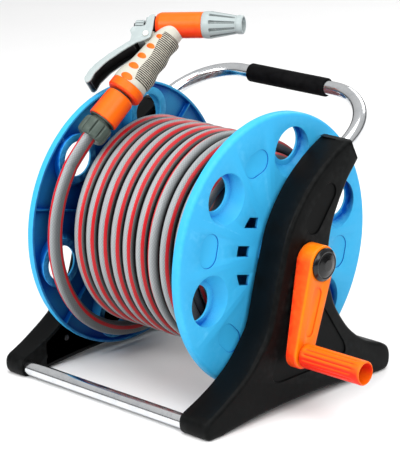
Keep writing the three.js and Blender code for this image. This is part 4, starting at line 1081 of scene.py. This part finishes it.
def coil_path():
    """Three layers wound to and fro; the outer layer ends at the left. Each point is (x, radius, angle)."""
    left = COIL_LOW.x + HOSE_RADIUS
    right = COIL_HIGH.x - HOSE_RADIUS
    run = (right - left) / HOSE_PITCH
    rise = 0.5
    per_turn = 110
    points = []
    top = COIL_RADIUS - HOSE_RADIUS
    total = HOSE_LAYERS * (run + rise) - rise
    for i in range(int(total * per_turn) + 1):
        turns = i / per_turn
        layer = min(int(turns / (run + rise)), HOSE_LAYERS - 1)
        within = turns - layer * (run + rise)
        share = min(within / run, 1)
        backwards = (HOSE_LAYERS - layer) % 2 == 1
        x = right + (left - right) * share if backwards else left + (right - left) * share
        lift = smooth_step((within - run) / rise) if within > run else 0
        radius = top - (HOSE_LAYERS - 1 - layer - lift) * LAYER_STEP
        angle = 2 * math.pi * turns
        drift = 0.55 * math.sin(angle * 0.37 + 1.3) + 0.4 * math.sin(angle * 1.13)
        points.append((x + drift, radius - 0.35 + 0.3 * math.sin(angle * 0.71), angle))
    return points


def coil():
    path = coil_path()
    end_angle = path[-1][2]
    lead_in = math.radians(250)
    points, outs = [], []
    for x, radius, angle in path:
        a = lead_in + end_angle - angle
        out = Vector((0, math.cos(a), math.sin(a)))
        outs.append(out)
        points.append(Vector((x, 0, AXLE_Z)) + radius * out)
    turn = 2 * math.pi
    odd_turn = end_angle - 6.6 * turn

    def roll(i):
        angle = path[i][2]
        swing = math.exp(-((angle - odd_turn) / (0.55 * turn)) ** 2)
        return outs[i], math.radians(96 + 6 * math.sin(angle * 0.21)) + swing * math.radians(54)

    slack = 0.15
    stands_for(sweep("coil", points, HOSE_RADIUS - slack, 18, roll), "hose_coil")


def gun_point(x, y, z):
    return GUN_PLACE @ Vector((x * MM, y * MM, z * MM)) / MM


def lead():
    """The loose last turn, then straight into the hose nut."""
    leave, start = math.radians(133.6), math.radians(300)
    steps = 40
    knots = []
    for i in range(steps - 1):
        share = i / steps
        angle = start + (leave - start) * share
        radius = LEAD_RADIUS - 3.5 * max(0, 1 - share * 2.2)
        knots.append(Vector((LEAD_X, radius * math.cos(angle), AXLE_Z + radius * math.sin(angle))))
    knots += [gun_point(0, 0, -14), gun_point(0, 0, -4.5)]
    points = [Vector(p) for p in spline(knots, 4)]

    def roll(i):
        out = points[i] - Vector((LEAD_X, 0, AXLE_Z))
        return Vector((0, out.y, out.z)).normalized(), math.radians(43)

    stands_for(sweep("lead", points, HOSE_RADIUS, 24, roll), "hose_lead")


# ------------------------------------------------------------------ crank

def crank():
    foot = (CRANK_PIN.y, CRANK_PIN.z - AXLE_Z)
    radius = math.hypot(*foot)
    outline = stadium((0, 0, CRANK_HUB), (*foot, CRANK_END), 24)
    face = CRANK_FACE
    gap, kick, cap_stem, stem_start = 0.8, 7.2, 9, 170
    inner = []
    for y, z in outline:
        share = min(max((y * foot[0] + z * foot[1]) / radius ** 2, 0), 1)
        inner.append((FRAME_OUTER + gap + kick * share, y, z))
    rings = [inner]
    edge = 2.6
    for k in range(7):
        angle = math.pi / 2 * k / 6
        rings.append(at_x(inset(outline, edge * (1 - math.cos(angle))), face - edge * (1 - math.sin(angle))))
    arm = loft("arm", rings, REEL_PLACE)
    groove = stadium((0.33 * foot[0], 0.33 * foot[1], 7), (0.74 * foot[0], 0.74 * foot[1], 6), 20)
    stem_hole = rod(cap_stem + FIT, stem_start, face + 1, REEL_PLACE)
    carve(arm, [plate_x(groove, face - 1.4, face + 1, REEL_PLACE), stem_hole])
    stands_for(soften(arm, 0.6), "crank_arm")

    low, high = box_mm("crank_cap")
    rim = (high.z - low.z) / 2
    base = face + FIT
    profile = rounded([(0, low.x), (cap_stem, low.x), (cap_stem, base), (rim, base, 0.5),
                       (rim, base + 2, 1.2), (rim - 3.2, base + 4.6, 2), (rim - 4.6, base + 4.1, 1),
                       (rim - 6, base + 4.9, 1.5), (rim - 12, high.x - 0.3, 3), (0, high.x)])
    stands_for(lathe("cap", profile, 72, REEL_PLACE), "crank_cap")


def crank_grip():
    start, end = CRANK_GRIP_LOW.x, CRANK_GRIP_HIGH.x
    outer = (CRANK_GRIP_HIGH.z - CRANK_GRIP_LOW.z) / 2
    flutes, pin_bore, cavity_start = 14, 4.3, 236.5

    def flute(angle):
        return 1 - abs(math.sin(flutes * angle / 2)) ** 0.7

    stations = [(outer - 1, start, 0), (outer - 0.2, start + 0.6, 0), (outer, start + 1.4, 0),
                (outer, start + 4.5, 0), (outer, start + 6.5, 1), (outer, start + 8, 1),
                (outer, end - 13, 1), (outer, end - 11, 1), (outer, end - 9, 0),
                (outer, end - 2, 0), (outer - 0.2, end - 0.8, 0), (outer - 1, end, 0)]
    place = shift(0, CRANK_PIN.y, CRANK_PIN.z)
    grip = grooved("crank_grip", stations, flute, 168, place, "X")
    cavity = rod(outer - 2, cavity_start, end + 1, place, segments=96)
    carve(grip, [cavity, rod(pin_bore, start - 1, end, place)])
    stands_for(soften(grip, 0.4, angle=50, smooth=40), "crank_grip")


# ------------------------------------------------------------------ hose nut, connector, gun

def lobed(name, stations, lobes, depth, place, sides=160):
    """A round body with narrow grooves between its lobes."""
    def groove(angle):
        return depth * max(0, math.cos(lobes * angle)) ** 6
    return grooved(name, stations, groove, sides, place)


def hose_end():
    low = -12
    stations = [(13.8, low, 0), (14.8, low + 0.8, 0.3), (16, low + 2, 0.8), (16.7, low + 4, 1),
                (16.8, low + 8, 1), (16.8, 3, 1), (16.5, 5, 1), (15.8, 6.4, 0.8), (15, 7, 0.4)]
    nut = lobed("nut", stations, 10, 1.7, GUN_PLACE)
    carve(nut, [rod(HOSE_RADIUS + FIT, -14, 9, GUN_PLACE, "Z"), rod(11.8, -3, 9, GUN_PLACE, "Z")])
    stands_for(soften(nut, 0.4, angle=50, smooth=40), "hose_nut")

    profile = rounded([(15.3, 11.8), (15.6, 11.5, 0.3), (17, 12.2, 0.8), (16.6, 28, 6), (16.2, 42, 2),
                       (15.4, 45, 0.8), (12.8, 45, 0.4), (12.8, 20), (15.3, 18)], closed=True)
    stands_for(lathe("collar", profile, 96, GUN_PLACE, "Z"), "connector_collar")


def grip_ring():
    profile = rounded([(9.1, 48), (18.4, 48, 0.8), (20, 50, 1.5), (20, 57.5, 1.5), (19.2, 59.5, 0.6),
                       (15.4, 59.5), (15.4, 49.7), (9.1, 49.7)], closed=True)
    stands_for(lathe("ring", profile, 96, GUN_PLACE, "Z"), "grip_ring")


def grip_radius(z):
    share = (z - 60) / 82
    return 19.2 - 9.4 * share + 3.2 * share ** 2


def grip_point(z, angle, lift=0.0):
    """A point on the grip's skin; the back bulges near its base."""
    bulge = 2.6 * math.exp(-((z - 68) / 11) ** 2) * max(0, -math.cos(angle)) ** 1.5
    radius = grip_radius(z) + lift + bulge
    return (radius * math.cos(angle), 0.94 * radius * math.sin(angle), z)


def barrel_rod(radius, start, end, segments=72):
    return rod(radius, start, end, BARREL_PLACE, "Z", segments)


def gun_grip():
    sides = 64
    rings = []
    for i in range(36):
        z = 59.8 + 90 * i / 35
        rings.append([grip_point(z, 2 * math.pi * k / sides) for k in range(sides)])
    body = loft("grip", rings, GUN_PLACE)
    lug = rounded([(-6, 106), (-17, 111, 3), (-22.5, 114, 3), (-23, 119, 3), (-18, 124, 2), (-6, 130)],
                  closed=True)
    weld(body, [plate_y(lug, -7, 7, GUN_PLACE)])
    carve(body, [barrel_rod(BARREL_RADIUS + 0.2, BARREL_BACK - 1, BARREL_FRONT + 20),
                 barrel_rod(11.5, BARREL_BACK - 20, BARREL_BACK)])
    stands_for(soften(body, 0.5), "gun_grip", GRIP_GREY)


def insert_edge(z):
    """Half angle of the soft insert about the front of the grip, at a height."""
    share = (z - 66) / 64
    return math.radians(62 + 26 * share + 5 * math.sin(share * 9.0))


def grip_insert():
    """A shell on the front of the grip, with finger waves and fine ribs."""
    low, high, pitch = 66.0, 130.0, 2.15
    across = 30
    count = int((high - low) / 0.36)
    vertices, levels, faces = [], [], []
    for side in (1, 0):
        for i in range(count + 1):
            z = low + (high - low) * i / count
            ends = min(1, (z - low) / 2.5, (high - z) / 2.5)
            for k in range(across + 1):
                share = 2 * k / across - 1
                edge = max(0, 1 - abs(share)) * across / 2
                fade = smooth_step(min(ends, edge / 2))
                rib = 0.5 + 0.5 * math.cos(2 * math.pi * (z - low) / pitch)
                wave = max(0, math.cos(share * 1.3)) * (0.5 + 0.5 * math.sin(2 * math.pi * (z - 72) / 24))
                lift = side * fade * (0.75 + 0.5 * rib + 1.9 * wave) - (0 if side else 1.5)
                vertices.append(grip_point(z, share * insert_edge(z), lift))
                levels.append(rib if side else 0)
    row = across + 1
    layer = row * (count + 1)
    for i in range(count):
        for k in range(across):
            a = i * row + k
            faces.append((a, a + 1, a + row + 1, a + row))
            b = a + layer
            faces.append((b + row, b + row + 1, b + 1, b))
    rim = list(range(across)) + [i * row + across for i in range(count)]
    rim += [count * row + k for k in range(across, 0, -1)] + [i * row for i in range(count, 0, -1)]
    for a, b in zip(rim, rim[1:] + rim[:1]):
        faces.append((a, a + layer, b + layer, b))
    shell = make_object("insert", vertices, faces, GUN_PLACE, 80)
    ridge = shell.data.attributes.new("ridge", "FLOAT", "POINT")
    ridge.data.foreach_set("value", levels)
    carve(shell, [barrel_rod(BARREL_RADIUS + 0.4, -40, BARREL_FRONT + 20)])
    tidy_normals(shell, 80)
    stands_for(shell, "grip_insert")


def grip_dots():
    """Five coloured inlays beside the insert, on both sides, smaller towards the barrel."""
    for index, turned in enumerate((90, 99, 102, 100, 93)):
        z = 63.5 + 14.6 * index
        half = 7.4 - 0.55 * index
        for side in (-1, 1):
            centre = side * math.radians(turned)
            rings = []
            for scale, lift in ((0.02, 0.62), (0.55, 0.58), (0.85, 0.45), (1, 0.15), (1, -0.8)):
                ring = []
                for k in range(32):
                    angle = 2 * math.pi * k / 32
                    turn = half * scale * math.cos(angle) / grip_radius(z)
                    ring.append(grip_point(z + 0.55 * half * scale * math.sin(angle), centre + turn, lift))
                rings.append(ring)
            dot = loft("dot", rings, GUN_PLACE, 40)
            adds_to(dot, f"grip_dot_{index + 1}_{'left' if side < 0 else 'right'}", "gun", "gun_orange")


def gun_barrel():
    back, front = BARREL_BACK, BARREL_FRONT
    profile = rounded([(9, back), (12.4, back, 1.5), (BARREL_RADIUS, back + 4.5, 4),
                       (BARREL_RADIUS, front, 0.5), (11.4, front), (11.4, front + 12, 0.5),
                       (4.2, front + 12), (4.2, front - 3), (10.2, front - 6), (10.2, back + 9),
                       (9, back + 9)], closed=True)
    stands_for(lathe("barrel", profile, 96, BARREL_PLACE, "Z"), "gun_barrel")


def nozzle():
    """A fluted cone: wide grooves that fade out towards the tip."""
    start = BARREL_FRONT + FIT
    flutes, flute_depth, steps = 10, 2.2, 12

    def flute(angle):
        return flute_depth * smooth_step((math.cos(flutes * angle) - 0.2) / 0.4)

    base = [(14.0, 0, 0), (14.5, 0.7, 0), (14.9, 4, 0), (15.0, 8.4, 0), (14.9, 9.2, 0.75), (14.7, 10, 1)]
    shares = [i / steps for i in range(1, steps + 1)]
    cone = [(14.7 - 4.4 * share, 10 + 25.5 * share, 1 - 0.35 * share) for share in shares]
    lip = [(10.1, 36.6, 0.1), (9.7, 37.4, 0), (10.2, 38.4, 0), (10.4, 39.4, 0), (10.4, 42.6, 0),
           (10.0, 44, 0), (9.2, 44.7, 0)]
    stations = [(radius, start + along, share) for radius, along, share in base + cone + lip]
    body = grooved("nozzle", stations, flute, 240, BARREL_PLACE)
    front, end = BARREL_FRONT, NOZZLE_END
    profile = [(0, start - 1), (11.7, start - 1), (11.7, front + 16), (5, front + 24),
               (4, end - 12), (7.6, end - 6), (8.2, end + 1), (0, end + 1)]
    carve(body, [lathe("bore", profile, 72, BARREL_PLACE, "Z")])
    stands_for(soften(body, 0.35, angle=50, smooth=38), "nozzle")


def gland_and_knob():
    back, front = BARREL_BACK - 8, BARREL_BACK
    profile = rounded([(3.3, back), (8.5, back, 0.8), (10, back + 1.5, 1), (10, front - FIT),
                       (8.7, front - FIT), (8.7, front + 8), (5.4, front + 8), (5.4, front + 3),
                       (3.3, front + 3)], closed=True)
    stands_for(lathe("gland", profile, 64, BARREL_PLACE, "Z"), "packing_gland")
    stations = [(4.6, -47.2, 0), (5.6, -46.8, 0.4), (6.3, -46, 1), (6.4, -39, 1), (6.2, -37.6, 1),
                (5.6, -36.9, 0.3)]
    knob = lobed("knob", stations, 12, 0.8, BARREL_PLACE, 96)
    carve(knob, [rod(3.3, -50, -30, BARREL_PLACE, "Z", 32)])
    stands_for(knob, "flow_knob")


def barrel_point(along, square):
    """A point given along the barrel and square to it, in the gun's XZ plane."""
    return (along * math.sin(BARREL_ANGLE) - square * math.cos(BARREL_ANGLE),
            HEAD_Z + along * math.cos(BARREL_ANGLE) + square * math.sin(BARREL_ANGLE))


def pivot_turn(angle):
    """The place of something turned about the trigger's pivot, along Z before the turn."""
    return GUN_PLACE @ shift(PIVOT.x, 0, PIVOT.z) @ Matrix.Rotation(angle, 4, "X")


def trigger():
    """Two cheeks, the web between them, and the yoke that the valve's stem goes through."""
    yoke_front, yoke_back, yoke_low, yoke_high = -30.6, -33, -7, 4.5
    inside = TRIGGER_HALF - TRIGGER_WALL
    lever_inner = [(-10.6, 116.5, 2), (-13.5, 111, 6), (-20.4, 102.9, 10), (-27.5, 87.4, 20),
                   (-35.3, 65.8, 20), (-37.6, 49.3, 10)]
    tip = [(-36, 40.5, 3), (-37, 37, 2.5), (-41, 35.5, 3), (-44.2, 40, 4)]
    lever_outer = [(-45.2, 50, 10), (-44.2, 58.3, 10), (-38.7, 76.3, 20), (-31.4, 93.7, 15), (-27.6, 102, 4)]
    lobe = [(-31, 108, 4), (-36, 111.5, 3), (-36.5, 115.5, 3), (-34, 118.8, 3), (-27.5, 122.3, 3)]
    arm = [(-31.5, -6, 3), (-31.2, 3, 4), (-28, 6.5, 3), (-23.3, 7.5, 2), (-23.3, -11, 4)]
    upper = [(*barrel_point(along, square), corner) for along, square, corner in arm]
    cheek = rounded(lever_inner + tip + lever_outer + lobe + upper, closed=True)
    web_inner = [(-30.2, 107.6, 1), (-26.6, 108, 1), (-25.4, 101.2, 3), (-29.5, 93, 15), (-36.8, 75.6, 20),
                 (-42.2, 58, 10), (-43.1, 50, 10)]
    web_tip = [(-42.2, 41, 2), (-40.3, 37.7, 1), (-38.7, 38.4, 1), (-37.9, 41)]
    web = rounded(tip + lever_outer + web_inner + web_tip, closed=True)
    yoke = [barrel_point(yoke_front, yoke_low), barrel_point(yoke_back, yoke_low),
            barrel_point(yoke_back, yoke_high), barrel_point(yoke_front, yoke_high)]
    body = plate_y(cheek, -TRIGGER_HALF, -inside, GUN_PLACE)
    between = [plate_y(outline, -inside - 0.1, inside + 0.1, GUN_PLACE) for outline in (web, yoke)]
    weld(body, [plate_y(cheek, inside, TRIGGER_HALF, GUN_PLACE)] + between)
    stem_hole = rod(4.4, yoke_back - 3, yoke_front + 3, BARREL_PLACE, "Z")
    pin = pivot_turn(math.pi / 2)
    carve(body, [stem_hole, rod(2.3, -TRIGGER_HALF - 5, TRIGGER_HALF + 5, pin, "Z", 40)])
    merge_close(body)
    stands_for(soften(body, 0.55, 3), "trigger", TRIGGER_GREY)


def trigger_pin():
    half = TRIGGER_HALF + 0.6
    profile = rounded([(0, -half - 1.1), (2.4, -half - 1, 0.6), (3.2, -half - 0.5, 0.4), (3.2, -half),
                       (2, -half), (2, half, 0.4), (0, half)])
    stands_for(lathe("pin", profile, 40, pivot_turn(-math.pi / 2), "Z"), "trigger_pin", ACETAL)


# ------------------------------------------------------------------ water inlet

def inlet():
    low, high = box_mm("inlet_adaptor")
    face = -LEFT_OUTER - FIT
    flat = (high.z - low.z) / 2
    profile = rounded([(4, high.x), (5.6, high.x), (5.6, face), (flat, face, 0.3), (flat, face - 3, 0.8),
                       (12, face - 3, 1), (11, face - 12, 1), (8.8, face - 14), (8.8, face - 20),
                       (7.4, face - 21), (7.4, face - 24), (8.8, face - 25), (8.2, face - 34, 1),
                       (6.5, low.x, 0.6), (4, low.x)], closed=True)
    stands_for(lathe("inlet", profile, 72, REEL_PLACE), "inlet_adaptor")


# ------------------------------------------------------------------ stage

def stage():
    mesh = bpy.data.meshes.new("floor")
    half = 6
    corners = [(-half, -half, 0), (half, -half, 0), (half, half, 0), (-half, half, 0)]
    mesh.from_pydata(corners, [], [(0, 1, 2, 3)])
    floor = new_object("floor", mesh)
    mesh.materials.append(floor_material())


def area_light(name, position, target, size, power):
    data = bpy.data.lights.new(name, "AREA")
    data.shape = "RECTANGLE"
    data.size, data.size_y = size
    data.energy = power
    light = new_object(name, data)
    light.location = HOME @ Vector(position)
    light.rotation_euler = (Vector(target) - Vector(position)).to_track_quat("-Z", "Y").to_euler()


def lights():
    middle = (0, 0, 0.18)
    area_light("key", (-0.2, -2.0, 1.5), middle, (1.0, 1.0), 30)
    area_light("top", (0.4, -0.3, 2.3), middle, (2.0, 2.0), 34)
    area_light("side", (1.9, -0.7, 1.6), middle, (1.4, 1.2), 25)
    area_light("back", (-0.4, 2.2, 1.6), middle, (1.6, 1.0), 18)
    bpy.context.scene.view_settings.view_transform = "Standard"


def surroundings():
    """A pale room with a dark band near the horizon for the metal to mirror; white behind the object."""
    world = bpy.data.worlds.new("studio")
    bpy.context.scene.world = world
    nodes = Nodes(world, "Background")
    up = nodes.split(nodes.place.outputs["Generated"])["Z"]
    levels = [(0.0, 0.9), (0.4, 0.9), (0.47, 0.25), (0.56, 0.12), (0.64, 0.8), (1.0, 1.0)]
    stops = [(position, (level, level, level, 1)) for position, level in levels]
    room = nodes.ramp(nodes.math("MULTIPLY_ADD", up, 0.5, 0.5), stops)
    seen = nodes.add("ShaderNodeLightPath").outputs["Is Camera Ray"]
    nodes.set(Color=nodes.mix(seen, room, (1.5, 1.5, 1.5, 1)), Strength=0.7)


def camera():
    azimuth, elevation, distance = math.radians(42.8), math.radians(16.9), 2.4491
    target = Vector((-0.0253, 0.0314, 0.150))
    back = Vector((math.sin(azimuth) * math.cos(elevation), -math.cos(azimuth) * math.cos(elevation),
                   math.sin(elevation)))
    data = bpy.data.cameras.new("camera")
    data.sensor_width = 36
    data.lens = 173.3
    view = new_object("camera", data)
    view.location = HOME @ (target + distance * back)
    view.rotation_euler = back.to_track_quat("Z", "Y").to_euler()
    bpy.context.scene.camera = view


# ------------------------------------------------------------------ assembly

dress_frame()
side_frames()
bars()
handle()
flanges()
coil()
lead()
crank()
crank_grip()
hose_end()
grip_ring()
gun_grip()
grip_insert()
grip_dots()
gun_barrel()
nozzle()
gland_and_knob()
trigger()
trigger_pin()
inlet()
stage()
lights()
surroundings()
camera()
